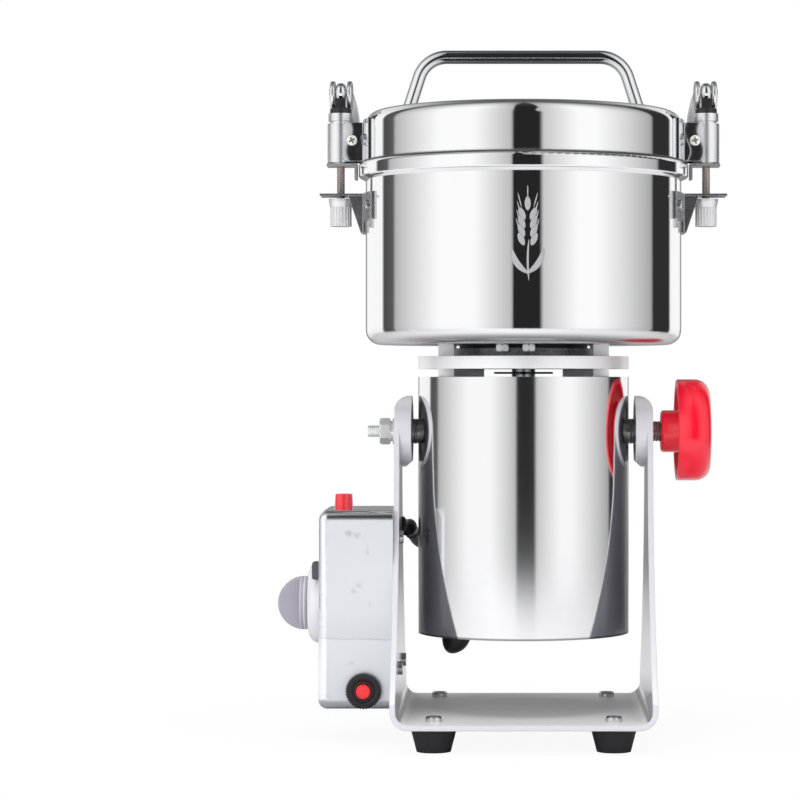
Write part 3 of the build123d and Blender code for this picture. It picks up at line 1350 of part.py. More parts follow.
# Lock knob: a three-lobed cup, hollow behind, with a hub that turns on the pivot stud.
with BuildPart() as lock_knob:
    with BuildSketch(across(knob_cup_start)):
        with Locations((0, pivot_height)):
            Circle(knob_middle_radius)
            with PolarLocations(knob_lobe_offset, 3, start_angle=180):
                Circle(knob_lobe_radius)
        fillet(vertices(), radius=knob_shoulder)
    extrude(amount=knob_cup_depth)
    fillet(lock_knob.edges().group_by(Axis.X)[-1], radius=knob_shoulder)
    offset(amount=-knob_wall, openings=lock_knob.faces().sort_by(Axis.X)[0])
    hub_height = knob_cup_start + knob_cup_depth - knob_wall / 2 - knob_start
    extrude(disc(across(knob_start), knob_hub_radius, (0, pivot_height)), amount=hub_height)
    fillet(lock_knob.edges().group_by(Axis.X)[0], radius=knob_hub_round)
    extrude(disc(across(knob_start), stud_radius + run_gap, (0, pivot_height)),
            amount=stud_end - knob_start + 1, mode=Mode.SUBTRACT)
lock_knob.part.label = "lock_knob"
export_step(lock_knob.part, "parts/lock_knob.step")

# ======================================================================== motor cable

# Elbow: strain relief that leads the cable out of the arm and turns it backwards.
with BuildPart() as cable_elbow:
    with BuildLine() as elbow_line:
        FilletPolyline(
            (mill_x - arm_outside - box_wall, elbow_corner.Y, elbow_corner.Z),
            elbow_corner, cable_points[0], radius=elbow_radius + bend_spare,
        )
    with BuildSketch(Plane(origin=elbow_line.line @ 0, z_dir=elbow_line.line % 0)):
        Circle(elbow_radius)
    sweep()
cable_elbow.part.label = "cable_elbow"
export_step(cable_elbow.part, "parts/cable_elbow.step")

# Gland: strain relief in the motor's base cover, which turns the cable backwards.
gland_corner = cable_points[-1] - Vector(0, base_gland_reach, 0)
with BuildPart() as base_gland:
    extrude(disc(level(cover_top), base_gland_radius + base_gland_edge, base_gland_place),
            amount=base_gland_head)
    with BuildLine() as gland_line:
        FilletPolyline(
            (gland_corner.X, gland_corner.Y, cover_top), gland_corner, cable_points[-1],
            radius=base_gland_radius + bend_spare,
        )
    with BuildSketch(Plane(origin=gland_line.line @ 0, z_dir=gland_line.line % 0)):
        Circle(base_gland_radius)
    sweep()
base_gland.part.label = "base_gland"
export_step(base_gland.part, "parts/base_gland.step")

# Cable: straight runs joined by arcs that are as large as the runs allow.
runs = [after - before for before, after in zip(cable_points, cable_points[1:])]
cable_radii = []
for before, after in zip(runs, runs[1:]):
    half_turn = radians(before.get_angle(after)) / 2
    cable_radii.append(0.45 * min(before.length, after.length) / tan(half_turn))
with BuildPart() as motor_cable:
    with BuildLine() as cable_line:
        FilletPolyline(*cable_points, radius=cable_radii)
    with BuildSketch(Plane(origin=cable_line.line @ 0, z_dir=cable_line.line % 0)):
        Circle(cable_radius)
    sweep()
motor_cable.part.label = "motor_cable"
export_step(motor_cable.part, "parts/motor_cable.step")
cable_length = sum(edge.length for edge in cable_line.edges())
cable_volume = pi * cable_radius**2 * cable_length
print("cable radii", [round(radius, 1) for radius in cable_radii])
print("cable length", round(cable_length, 1),
      "volume ratio", round(motor_cable.part.volume / cable_volume, 4))
print("nut hangs", round(nut_drop(), 2), "below the hinge; mill axis at x =", round(mill_x, 2))
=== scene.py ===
# %% [markdown]
# # A swing-type grain mill
# A grain mill of this kind is a polished bowl with blades in its floor, on top of an upright
# motor. The motor hangs between the two arms of a bent steel stand, so that the whole mill can
# be turned over to empty it. Two spring clamps hold the lid down, a red knob locks the swing,
# and a small steel box on the left arm carries the timer, the switch, the lamp and the breaker.
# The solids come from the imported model. This lesson adds the camera, the studio, the finishes
# and the pieces that are too fine for a solid model.

# %% Load the frame
import math

import bpy
import numpy as np
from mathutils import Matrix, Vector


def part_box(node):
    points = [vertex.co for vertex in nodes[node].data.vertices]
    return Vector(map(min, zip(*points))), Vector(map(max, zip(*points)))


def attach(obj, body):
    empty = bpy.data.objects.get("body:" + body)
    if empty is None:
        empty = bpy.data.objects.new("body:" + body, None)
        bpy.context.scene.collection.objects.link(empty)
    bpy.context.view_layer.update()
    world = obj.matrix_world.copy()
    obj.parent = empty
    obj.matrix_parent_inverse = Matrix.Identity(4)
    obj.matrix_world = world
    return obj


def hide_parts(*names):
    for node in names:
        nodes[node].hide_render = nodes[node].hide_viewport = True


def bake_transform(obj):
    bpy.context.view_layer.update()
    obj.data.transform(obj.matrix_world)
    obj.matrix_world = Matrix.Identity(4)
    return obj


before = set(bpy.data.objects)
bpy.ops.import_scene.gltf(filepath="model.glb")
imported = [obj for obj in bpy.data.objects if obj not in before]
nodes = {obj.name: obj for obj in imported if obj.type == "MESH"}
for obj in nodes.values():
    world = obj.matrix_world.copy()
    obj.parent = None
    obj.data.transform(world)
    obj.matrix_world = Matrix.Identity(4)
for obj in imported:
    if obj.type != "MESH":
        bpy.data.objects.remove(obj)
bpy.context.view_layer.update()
millimetre = 0.001

# %% [markdown]
# ## Where the mill stands
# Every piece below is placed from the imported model. The mill's own upright axis isn't the
# middle of the stand and its box, so it is worked out from the bowl's corners.

# %% Measure the mill
def corners(box):
    """The lowest and the highest corner of a box, as arrays."""
    low, high = box
    return np.array(low), np.array(high)


bowl_low, bowl_high = corners(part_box("bowl"))
mill_x = float(bowl_low[0] + bowl_high[0]) / 2
pivot_low, pivot_high = corners(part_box("pivot_stud"))
pivot_z = float(pivot_low[2] + pivot_high[2]) / 2
print("mill axis", round(mill_x, 4), "pivot height", round(pivot_z, 4))

# %% [markdown]
# ## The camera
# A product picture is taken from far away with a long lens, so that upright edges stay upright.
# The camera stands level at a little over half the mill's height. A shift moves the frame
# sideways and down without turning the camera, which would make the uprights lean.

# %% Camera
camera_distance = 1.448
camera_height = 0.1814
camera_sideways = 0.0065
focal_length = 128.3
frame_shift = (-0.14375, -0.025)

camera_data = bpy.data.cameras.new("camera")
camera_data.lens = focal_length
camera_data.sensor_width = 36.0
camera_data.shift_x, camera_data.shift_y = frame_shift
camera = bpy.data.objects.new("camera", camera_data)
camera.location = (camera_sideways, -camera_distance, camera_height)
camera.rotation_euler = (math.radians(90), 0, 0)
bpy.context.scene.collection.objects.link(camera)
bpy.context.scene.camera = camera
print("camera at", tuple(round(c, 4) for c in camera.location))

# %% [markdown]
# ## Surfaces from grids
# Each new piece is a surface: a rectangular grid of points that a formula places in space. One
# helper turns such grids into a mesh. The last column of a grid is joined to its first, so the
# sheet becomes a tube, and each end is closed with one flat face. A solid that closes on itself
# has an inside and an outside, and the sign of its volume tells which way its faces point.

# %% Grids to mesh
def full_turn(steps):
    """Angles of one turn in equal steps, without the last, which is the first again."""
    return np.linspace(0, 2 * np.pi, steps, endpoint=False)


def shell_mesh(name, *grids, smooth=True):
    """Mesh of closed shells. Each grid is rows x columns x 3 points. Face (i, j) joins the
    points (i, j), (i, j+1), (i+1, j+1) and (i+1, j), with columns counted round again. The sum
    of the corners' triple products is six times the volume, and where it is negative the faces
    are turned round."""
    points, faces, first = [], [], 0
    for grid in grids:
        rows, columns = grid.shape[:2]
        index = np.arange(rows * columns).reshape(rows, columns)
        wrapped = np.concatenate([index, index[:, :1]], axis=1)
        quads = np.stack([wrapped[:-1, :-1], wrapped[:-1, 1:], wrapped[1:, 1:], wrapped[1:, :-1]],
                         axis=-1).reshape(-1, 4)
        flat = grid.reshape(-1, 3)
        a, b, c, d = (flat[quads[:, k]] - flat.mean(axis=0) for k in range(4))
        volume = np.einsum("ij,ij->", a, np.cross(b, c)) + np.einsum("ij,ij->", a, np.cross(c, d))
        ends = [index[0][::-1], index[-1]]
        turned = -1 if volume < 0 else 1
        faces += (first + quads[:, ::turned]).tolist()
        faces += [(first + end[::turned]).tolist() for end in ends]
        points.append(flat)
        first += len(flat)
    mesh = bpy.data.meshes.new(name)
    mesh.from_pydata(np.concatenate(points).tolist(), [], faces)
    mesh.validate()
    flags = np.array([smooth and len(polygon.vertices) == 4 for polygon in mesh.polygons])
    mesh.polygons.foreach_set("use_smooth", flags)
    return mesh


def place_piece(mesh, body, material_slot, *replaced):
    """Put a finished mesh in the scene, let it ride on its body and hide the nodes it replaces.
    The material_slot argument is not used.
    """
    piece = bpy.data.objects.new(mesh.name, mesh)
    bpy.context.scene.collection.objects.link(piece)
    if body:
        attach(piece, body)
    if replaced:
        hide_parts(*replaced)
    return piece


print("grid helper ready")

# %% [markdown]
# ## The motor cable
# A short black cable leaves the elbow on the left arm backwards, makes a loop behind the motor,
# out of sight from the front, and comes forward under it into the motor's gland. The loop is
# spare length for turning the mill over. The route is twelve listed points. A smooth
# curve is laid through their frame, and a round tube is carried along that curve.

# %% Cable route
cable_diameter = 0.0055
mill_axis = np.array([mill_x, 0.0, 0.0])
cable_route = mill_axis + millimetre * np.array([
    (-57.4, 27.5, 102.5),
    (-56.0, 42.0, 95.5),
    (-44.0, 58.0, 95.0),
    (-27.0, 66.5, 97.0),
    (-10.0, 70.0, 97.0),
    (1.0, 72.0, 86.0),
    (1.0, 72.0, 70.0),
    (-10.0, 70.0, 59.5),
    (-28.0, 64.0, 57.5),
    (-38.0, 48.0, 47.5),
    (-37.0, 30.0, 46.0),
    (-37.0, 16.0, 46.0),
])
route_curve = bpy.data.curves.new("cable_route", "CURVE")
route_curve.dimensions = "3D"
route_curve.resolution_u = 16
spline = route_curve.splines.new("NURBS")
spline.points.add(len(cable_route) - 1)
spline.points.foreach_set("co", np.c_[cable_route, np.ones(len(cable_route))].ravel())
spline.order_u = 3
spline.use_endpoint_u = True
route_object = bpy.data.objects.new("cable_route", route_curve)
bpy.context.scene.collection.objects.link(route_object)
bpy.context.view_layer.update()
route_mesh = bpy.data.meshes.new_from_object(route_object)
cable_line = np.zeros(3 * len(route_mesh.vertices))
route_mesh.vertices.foreach_get("co", cable_line)
cable_line = cable_line.reshape(-1, 3)
bpy.data.objects.remove(route_object)
steps = np.linalg.norm(np.diff(cable_line, axis=0), axis=1)
print("cable line", len(cable_line), "points, length", round(float(steps.sum()), 4))


# %% Cable tube
def tube_along(line, radius, around=24):
    """Points of a tube: at each point of the line, a circle of that radius in the plane across
    the line's direction. The circle's axes are the cross products of the direction with one
    fixed slanting vector, which the line never runs along, so the tube doesn't twist."""
    along = np.gradient(line, axis=0)
    along /= np.linalg.norm(along, axis=1, keepdims=True)
    first = np.cross(along, (0.3, 0.2, 1.0))
    first /= np.linalg.norm(first, axis=1, keepdims=True)
    second = np.cross(along, first)
    angle = full_turn(around)[None, :, None]
    radius = np.broadcast_to(radius, len(line))[:, None, None]
    circle = np.cos(angle) * first[:, None] + np.sin(angle) * second[:, None]
    return line[:, None] + radius * circle


cable = place_piece(shell_mesh("mill_cable", tube_along(cable_line, cable_diameter / 2)),
                    None, "cable_sheath", "motor_cable")
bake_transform(cable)
print("cable tube", len(cable.data.polygons), "faces")

# %% [markdown]
# ## Writing a material
# A material is a graph of small nodes, and a graph that is drawn in code soon becomes long. Here
# one class wraps a socket of the graph. Adding or multiplying two of them adds the Math node
# that does it, so a pattern is written as a formula. Every other node comes from one method,
# which takes the node's type, its settings and the values or links of its sockets.

# %% Sockets with arithmetic
class Wire:
    """One output of a node graph, with arithmetic that adds Math nodes."""

    def __init__(self, tree, socket=None):
        self.tree = tree
        self.socket = socket

    def node(self, kind, settings=None, sockets=None, out=0):
        """Add a node, set it, fill or link its inputs, and return one of its outputs."""
        made = self.tree.nodes.new("ShaderNode" + kind)
        for name, value in (settings or {}).items():
            if name == "stops":
                ramp = made.color_ramp
                while len(ramp.elements) < len(value):
                    ramp.elements.new(1.0)
                for element, (place, shade) in zip(ramp.elements, value):
                    element.position = place
                    element.color = (shade, shade, shade, 1.0)
            else:
                setattr(made, name, value)
        for name, value in (sockets or {}).items():
            if isinstance(value, Wire):
                self.tree.links.new(value.socket, made.inputs[name])
            else:
                made.inputs[name].default_value = value
        return Wire(self.tree, made.outputs[out] if len(made.outputs) else None)

    def math(self, operation, first, second=0.0):
        return self.node("Math", {"operation": operation}, {0: first, 1: second})

    def __add__(self, other):
        return self.math("ADD", self, other)

    def __sub__(self, other):
        return self.math("SUBTRACT", self, other)

    def __rsub__(self, other):
        return self.math("SUBTRACT", other, self)

    def __mul__(self, other):
        return self.math("MULTIPLY", self, other)

    def __truediv__(self, other):
        return self.math("DIVIDE", self, other)

    def __pow__(self, other):
        return self.math("POWER", self, other)

    __radd__ = __add__
    __rmul__ = __mul__

    def step(self, low, high):
        """0 below low, 1 above high and a smooth slope between."""
        return self.node("MapRange", {"interpolation_type": "SMOOTHSTEP"},
                         {"Value": self, "From Min": low, "From Max": high})

    def mix(self, shade, other):
        """Colour between shade, where this wire is 0, and other, where it is 1."""
        return self.node("Mix", {"data_type": "RGBA"}, {0: self, 6: shade, 7: other}, out=2)

    def stretch(self, x, y, z):
        return self.node("VectorMath", {"operation": "MULTIPLY"}, {0: self, 1: (x, y, z)})

    def noise(self, scale, detail=3.0, roughness=0.5):
        return self.node("TexNoise", {}, {"Vector": self, "Scale": scale, "Detail": detail,
                                          "Roughness": roughness})

    def parts(self):
        """The three numbers of a vector."""
        split = self.node("SeparateXYZ", {}, {0: self})
        return [Wire(self.tree, socket) for socket in split.socket.node.outputs]

    def bump(self, depth, strength=1.0, base=None):
        """Normal of a surface that this wire lifts by up to depth metres."""
        sockets = {"Height": self, "Distance": depth, "Strength": strength}
        if base:
            sockets["Normal"] = base
        return self.node("Bump", {}, sockets)


def start_material(name):
    """A new material and the place wire, in metres, that its patterns read."""
    material = bpy.data.materials.new(name)
    material.use_nodes = True
    material.node_tree.nodes.clear()
    place = Wire(material.node_tree).node("TexCoord", out="Object")
    return material, place


def finish_surface(material, **sockets):
    """Close a material with one Principled shader. Socket names are written with _ for a
    space, and one that isn't given keeps its default."""
    start = Wire(material.node_tree)
    named = {name.replace("_", " "): value for name, value in sockets.items()}
    shader = start.node("BsdfPrincipled", {}, named)
    start.node("OutputMaterial", {}, {"Surface": shader})
    return material


def shaded(tint, share):
    """The tint made darker by that share, as a colour with alpha."""
    return tuple(share * c for c in tint) + (1,)


def paint(material, *names):
    """Give the named nodes, or the pieces themselves, this material."""
    for item in names:
        piece = nodes[item] if isinstance(item, str) else item
        if len(piece.data.materials):
            for socket in piece.material_slots:
                socket.material = material
        else:
            piece.data.materials.append(material)


print("helpers ready")

# %% [markdown]
# ## The studio
# Polished steel has almost no look of its own: what it shows is the room. Metalware is
# photographed between two large soft panels, with a dark gap behind the camera and a dark gap
# beside each panel, because those gaps draw the crisp dark lines that make steel look like
# steel. Here the room is written into the world, as brightness against the bearing round the
# mill, so no card stands in the way when the mill is looked at from another side. A dark
# patch of ceiling, a little behind the mill, gives rounded tops their dark edge.

# %% World
room_bearings = [  # degrees from the camera's side, to the right, and brightness
    (-180, 0.30), (-165, 0.30), (-161, 1.0), (-125, 1.0), (-122, 0.07), (-109, 0.11),
    (-106, 0.50), (-63, 1.05), (-36, 1.05), (-13, 0.62), (-8.6, 0.55), (-7.6, 0.02),
    (12.2, 0.02), (13.2, 0.60), (40, 1.05), (54, 1.05), (105, 0.42), (108, 0.03),
    (131, 0.03), (135, 1.0), (161, 1.0), (165, 0.30), (180, 0.30),
]
ceiling_tilt = math.radians(18)
ceiling_stops = [(0.45, 0.0), (0.74, 0.28), (0.85, 0.54), (0.96, 0.90), (1.0, 1.0)]
ceiling_brightness = 0.10

world = bpy.data.worlds.new("studio")
bpy.context.scene.world = world
world.use_nodes = True
world.node_tree.nodes.clear()
room = Wire(world.node_tree)
direction = room.node("TexCoord", out="Generated")
east, north, up = direction.parts()
bearing = room.math("ARCTAN2", east, 0.0 - north)
around = bearing / (2 * math.pi) + 0.5
panels = room.node("ValToRGB", {"stops": [(0.5 + angle / 360, shade)
                                          for angle, shade in room_bearings]}, {0: around})
height = north * math.sin(ceiling_tilt) + up * math.cos(ceiling_tilt)
ceiling = room.node("ValToRGB", {"stops": ceiling_stops}, {0: height})
light = ceiling.mix(panels, (ceiling_brightness, ceiling_brightness, ceiling_brightness, 1))
seen = room.node("LightPath", out="Is Camera Ray")
shade = seen.mix(light, (1, 1, 1, 1))
background = room.node("Background", {}, {"Color": shade, "Strength": 1.0})
room.node("OutputWorld", {}, {"Surface": background})
bpy.context.scene.view_settings.view_transform = "Standard"
print("world with", len(room_bearings), "bearings")

# %% [markdown]
# ## Floor and lamp
# The mill stands on a white table. The table is one large disc that fades out with distance,
# so no edge or horizon shows, and what lies below the table's edge in a reflection is the dark
# gap behind the camera. Under the mill the table's colour is painted dark grey for reflections
# only, a painted shade which polished steel shows as a grey edge. A wide lamp overhead lights
# the upward faces and a second one, in front, the painted and plastic ones. Neither is seen in
# reflections, where it would draw a hard patch.

# %% Floor
floor_radius = 1.6
floor_thickness = 0.01
floor_drop = 0.0002                      # below the feet
shade_start, shade_end = 0.08, 0.35      # of the mill's shade, from the middle of the floor
fade_start, fade_end = 0.45, 1.5
floor_angles = full_turn(96)
floor_rim = floor_radius * np.stack([np.cos(floor_angles), np.sin(floor_angles),
                                     0 * floor_angles], axis=-1)
floor_points = np.stack([floor_rim - (0, 0, floor_thickness), floor_rim - (0, 0, floor_drop)])
floor = bpy.data.objects.new("floor", shell_mesh("floor", floor_points, smooth=False))
bpy.context.scene.collection.objects.link(floor)

floor_material, spot = start_material("white_table")
distance = spot.node("VectorMath", {"operation": "LENGTH"}, {0: spot}, out="Value")
glossy = spot.node("LightPath", out="Is Glossy Ray")
# painted shade: for glossy rays only, the table near the mill turns dark grey, standing in for
# the mill's shadow that the steel reflects
reflected_table_shade = glossy * (1.0 - distance.step(shade_start, shade_end))
lit = spot.node("BsdfDiffuse", {}, {"Color": reflected_table_shade.mix((0.93, 0.93, 0.94, 1),
                                                       (0.34, 0.34, 0.36, 1))})
white = spot.node("Emission", {}, {"Color": (1, 1, 1, 1), "Strength": 1.0})
path = spot.node("LightPath", out="Is Camera Ray")
own_white = path * (0.93 + 0.07 * distance.step(shade_start, shade_end))
table = spot.node("MixShader", {}, {0: own_white, 1: lit, 2: white})
clear = spot.node("BsdfTransparent")
faded = spot.node("MixShader", {}, {0: distance.step(fade_start, fade_end), 1: table, 2: clear})
spot.node("OutputMaterial", {}, {"Surface": faded})
paint(floor_material, floor)

lamps = [("overhead", 18.0, 1.4, (0.0, -0.35, 1.7), (-12, 0, 0)),
         ("front_fill", 11.0, 1.2, (-0.55, -1.7, 0.75), (74, 0, -18))]
for name, power, size, place, turn in lamps:
    lamp_data = bpy.data.lights.new(name, "AREA")
    lamp_data.shape = "DISK"
    lamp_data.size = size
    lamp_data.energy = power
    lamp = bpy.data.objects.new(name, lamp_data)
    lamp.location = place
    lamp.rotation_euler = [math.radians(angle) for angle in turn]
    lamp.visible_glossy = False
    lamp.visible_camera = False
    bpy.context.scene.collection.objects.link(lamp)
print("floor", floor_radius, "m, lamps", [(lamp[0], lamp[1]) for lamp in lamps])

# %% [markdown]
# ## Polished stainless steel
# The bowl and the lid are drawn from stainless sheet and buffed to a mirror. Buffing leaves
# rings too fine to see one by one, which only show where a dark part of the room is reflected.
# They are a bump of stretched noise, a micrometre deep, round the mill's axis.

# %% Mirror steel
def ring_place(place):
    """Place rewritten as (distance from the mill's axis, 0, height), so that a pattern on it
    runs round the mill in rings."""
    x, y, z = place.parts()
    x = x - mill_x
    out = (x * x + y * y) ** 0.5
    return place.node("CombineXYZ", {}, {0: out, 2: z})


def soft_edge(place, radius):
    """Normal that is rounded over, by that radius in millimetres, where two faces meet."""
    return place.node("Bevel", {"samples": 4}, {"Radius": radius * millimetre})


def edge_on_shade_mask(place, low, high):
    """1 where the surface is seen edge-on, as on the outline of something round. The metals
    darken their colour there, a painted shade along outlines.
    """
    return place.node("LayerWeight", {}, {"Blend": 0.5}, out="Facing").step(low, high)


def polished_steel(name, tint, roughness, ring_depth, edge_radius, lip_z=0.0, dull_z=0.0):
    """Below lip_z the colour is much darker, in a band along the bottom edge. Below dull_z the
    steel is rougher and its colour is painted darker, a painted shade on the bottom rounding.
    Where the steel is seen edge-on its colour is painted dark, a painted shade along the outline.
    """
    material, place = start_material(name)
    rings = ring_place(place).noise(2600.0, 2.0)
    cloud = place.noise(14.0, 3.0)
    _, _, z = place.parts()
    colour = cloud.mix(shaded(tint, 0.97), shaded(tint, 1.0))
    # painted shade: the colour turns dark where the steel is seen edge-on; it is also darker in a
    # band below lip_z
    dark = place.math("MAXIMUM", 0.7 * edge_on_shade_mask(place, 0.80, 0.95),
                      0.8 * (1.0 - z.step(lip_z - 0.0006, lip_z)))
    # painted shade on the bottom rounding below dull_z, where the roughness also rises
    dull_and_shaded = 1.0 - z.step(dull_z, dull_z + 0.010)
    dark = place.math("MAXIMUM", dark, 0.62 * dull_and_shaded)
    return finish_surface(material, Base_Color=dark.mix(colour, (0.20, 0.20, 0.21, 1)),
                          Metallic=1.0, Roughness=roughness * (0.75 + 0.5 * cloud) + 0.25 * dull_and_shaded,
                          Normal=rings.bump(ring_depth, 0.35, soft_edge(place, edge_radius)))


bowl_bottom, sleeve_bottom = (float(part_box(name)[0][2]) for name in ("bowl", "motor_sleeve"))
paint(polished_steel("mirror_steel", (0.93, 0.93, 0.94), 0.035, 0.4e-6, 0.35,
                     dull_z=bowl_bottom - 0.001), "bowl")
paint(polished_steel("lid_steel", (0.93, 0.93, 0.94), 0.04, 0.4e-6, 1.4), "lid_shell")
paint(polished_steel("turned_steel", (0.90, 0.90, 0.91), 0.10, 1.2e-6, 0.35,
                     lip_z=sleeve_bottom + 0.0013), "motor_sleeve")
print("polished steels", len(bpy.data.materials))

# %% [markdown]
# ## Chrome, zinc and cast metal
# The clamps and the handle are chromed, which is a mirror as bright as the bowl's but with
# sharper edges. Screws and rods are zinc plated, duller and a little brown where the plating
# is passivated. The clamp nuts are cast, and their skin is faintly grained. One function makes
# them all, because they differ only in tint, gloss and grain.

# %% Plated and cast metals
def plated_metal(name, tint, roughness, grain_scale, grain_depth, edge_radius=0.35, metallic=1.0):
    material, place = start_material(name)
    grain = place.noise(grain_scale, 4.0)
    cloud = place.noise(60.0, 3.0)
    colour = cloud.mix(shaded(tint, 0.88), shaded(tint, 1.0))
    # painted shade: where the metal is seen edge-on its colour turns to a quarter of the tint, a
    # painted dark outline
    dark = 0.85 * edge_on_shade_mask(place, 0.40, 0.75)
    base = soft_edge(place, edge_radius) if edge_radius else None
    return finish_surface(material, Metallic=metallic, Roughness=roughness * (0.7 + 0.6 * cloud),
                          Base_Color=dark.mix(colour, shaded(tint, 0.25)),
                          Normal=grain.bump(grain_depth, 0.4, base))


chrome = plated_metal("chrome", (0.90, 0.91, 0.93), 0.05, 900.0, 1e-6, 0.5)
paint(chrome, "bowl_fasteners")
paint(plated_metal("bent_rod_chrome", (0.90, 0.91, 0.93), 0.09, 300.0, 0.2e-6, 0), "lid_handle")
satin_chrome = plated_metal("satin_chrome", (0.93, 0.93, 0.95), 0.27, 300.0, 1e-6, 0, 0.95)
paint(satin_chrome, "clamp_barrel_left", "clamp_barrel_right")
pressed_steel = plated_metal("pressed_steel", (0.62, 0.62, 0.65), 0.22, 1400.0, 6e-6, 0.5)
paint(pressed_steel, "bowl_brackets")
cast_nut = plated_metal("cast_nut", (0.96, 0.95, 0.97), 0.36, 1800.0, 1e-5, 0.25, 0.55)
paint(cast_nut, "clamp_nut_left", "clamp_nut_right", "clamp_washer_left", "clamp_washer_right")
zinc = plated_metal("zinc", (0.74, 0.74, 0.75), 0.26, 1600.0, 8e-6, 0.25)
paint(zinc, "stand_fasteners", "through_bolts", "box_back_plate", "bearings",
      "lid_fasteners")
ground_blade = plated_metal("ground_blade", (0.70, 0.71, 0.73), 0.22, 3000.0, 1e-5, 0.15)
paint(ground_blade, "blades", "blade_nut", "rotor_shaft")
laminated_iron = plated_metal("laminated_iron", (0.25, 0.25, 0.27), 0.45, 2200.0, 2e-5, 0.15)
paint(laminated_iron, "stator_core", "armature_core")
copper = plated_metal("copper", (0.78, 0.40, 0.20), 0.30, 2600.0, 3e-5, 0.15)
paint(copper, "field_windings", "armature_winding", "commutator")
paint(plated_metal("brass", (0.75, 0.58, 0.30), 0.30, 1500.0, 1e-5, 0.2), "brush_gear")
dark_zinc = plated_metal("dark_zinc", (0.42, 0.41, 0.40), 0.28, 1600.0, 1e-5, 0.1)
pale_zinc = plated_metal("pale_zinc", (0.93, 0.95, 0.93), 0.30, 1600.0, 6e-6, 0.1, 0.6)
print("metals", len(bpy.data.materials))

# %% [markdown]
# ## Lid brackets
# The clamps hang on lugs that stand out from the lid. Their plates are chromed and a little
# bulged, as cut and bent sheet is, so each shows a dark slanting band instead of one flat tone.
# The bulge is a parabola across the lug, whose middle wanders as a sine of the height.

# %% Bulged lugs
fastener_count = len(nodes["lid_fasteners"].data.vertices)
fastener_points = np.zeros(3 * fastener_count)
nodes["lid_fasteners"].data.vertices.foreach_get("co", fastener_points)
fastener_points = fastener_points.reshape(-1, 3)
lug_start, head_seat = 0.0830, -0.0095   # from the mill's axis outwards, and in Y
fastener_out = fastener_points[:, 0] - mill_x
is_head = (np.abs(fastener_out) > lug_start) & (fastener_points[:, 1] < head_seat)
screw_centres = []
for chosen in (is_head & (fastener_out < 0), is_head & (fastener_out > 0)):
    head_points = fastener_points[chosen]
    head_middle = (head_points.min(axis=0) + head_points.max(axis=0)) / 2
    head_middle[1] = head_points[:, 1].min()
    screw_centres.append(head_middle)
hinge_reach = float(screw_centres[1][0]) - mill_x
hinge_z = float(screw_centres[0][2])
lug_curve, lug_flat_from = 14.0, -0.0040
wander_rate, wander_reach = 300.0, 0.0016


def bulged_chrome():
    material, place = start_material("bulged_chrome")
    x, _, z = place.parts()
    out = place.math("ABSOLUTE", x - mill_x) - hinge_reach
    wander = place.math("SINE", wander_rate * (z - hinge_z))
    across = place.math("MAXIMUM", out + 0.0002 + wander_reach * wander, lug_flat_from)
    bulge = -lug_curve * across * across
    haze = place.noise(90.0, 3.0)
    return finish_surface(material, Metallic=1.0, Roughness=0.07 + 0.06 * haze,
                          Base_Color=haze.mix((0.84, 0.85, 0.90, 1), (0.93, 0.93, 0.96, 1)),
                          Normal=bulge.bump(1.0, 1.0, soft_edge(place, 0.4)))


paint(bulged_chrome(), "lid_brackets")
print("hinge screws", round(hinge_reach, 4), "out, at", round(hinge_z, 4))

# %% [markdown]
# ## End bell
# The motor's top casting is machined bright where it bolts up, on its flange and its four
# posts, and left as it came from the mould on the round drum in the middle. One material has
# both: a mask is 1 inside the drum's radius and above the flange, where the metal is darker
# and coarsely grained.

# %% Cast end bell
drum_radius = 0.0352
flange_top = 0.1934


def bell_casting():
    material, place = start_material("bell_casting")
    radius, _, height = ring_place(place).parts()
    raw = (1 - radius.step(drum_radius - 0.0001, drum_radius + 0.0002)) \
        * height.step(flange_top - 0.0002, flange_top)
    grain = place.noise(700.0, 5.0, 0.7)
    pits = grain.step(0.35, 0.75)
    dark = pits.mix((0.16, 0.16, 0.17, 1), (0.36, 0.36, 0.38, 1))
    return finish_surface(material, Base_Color=raw.mix((0.97, 0.97, 0.99, 1), dark),
                          Metallic=0.4 + 0.3 * raw, Roughness=0.36 + 0.14 * raw,
                          Normal=(grain * (0.1 + raw)).bump(5e-5, 0.6, soft_edge(place, 0.4)))


paint(bell_casting(), "end_bell")
print("end bell drum", drum_radius)

# %% [markdown]
# ## Switch box
# The box is folded from thin stainless sheet and buffed. Its broad sides are never quite flat
# and blur the room to a pale even grey, while the tightly bent edges show crisp dark and bright
# lines. So its gloss grows near the edges. Hands leave a few faint marks. A shallow dent across
# the front is painted as one dark wavy line, with a faint painted shade above it.

# %% Box sheet
box_low, box_high = corners(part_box("switch_box"))
bent_edge = 0.0045
dent_line_height = float(box_low[2] + 0.355 * (box_high[2] - box_low[2]))
dent_line_waver, dent_line_rise = 0.004, 0.002


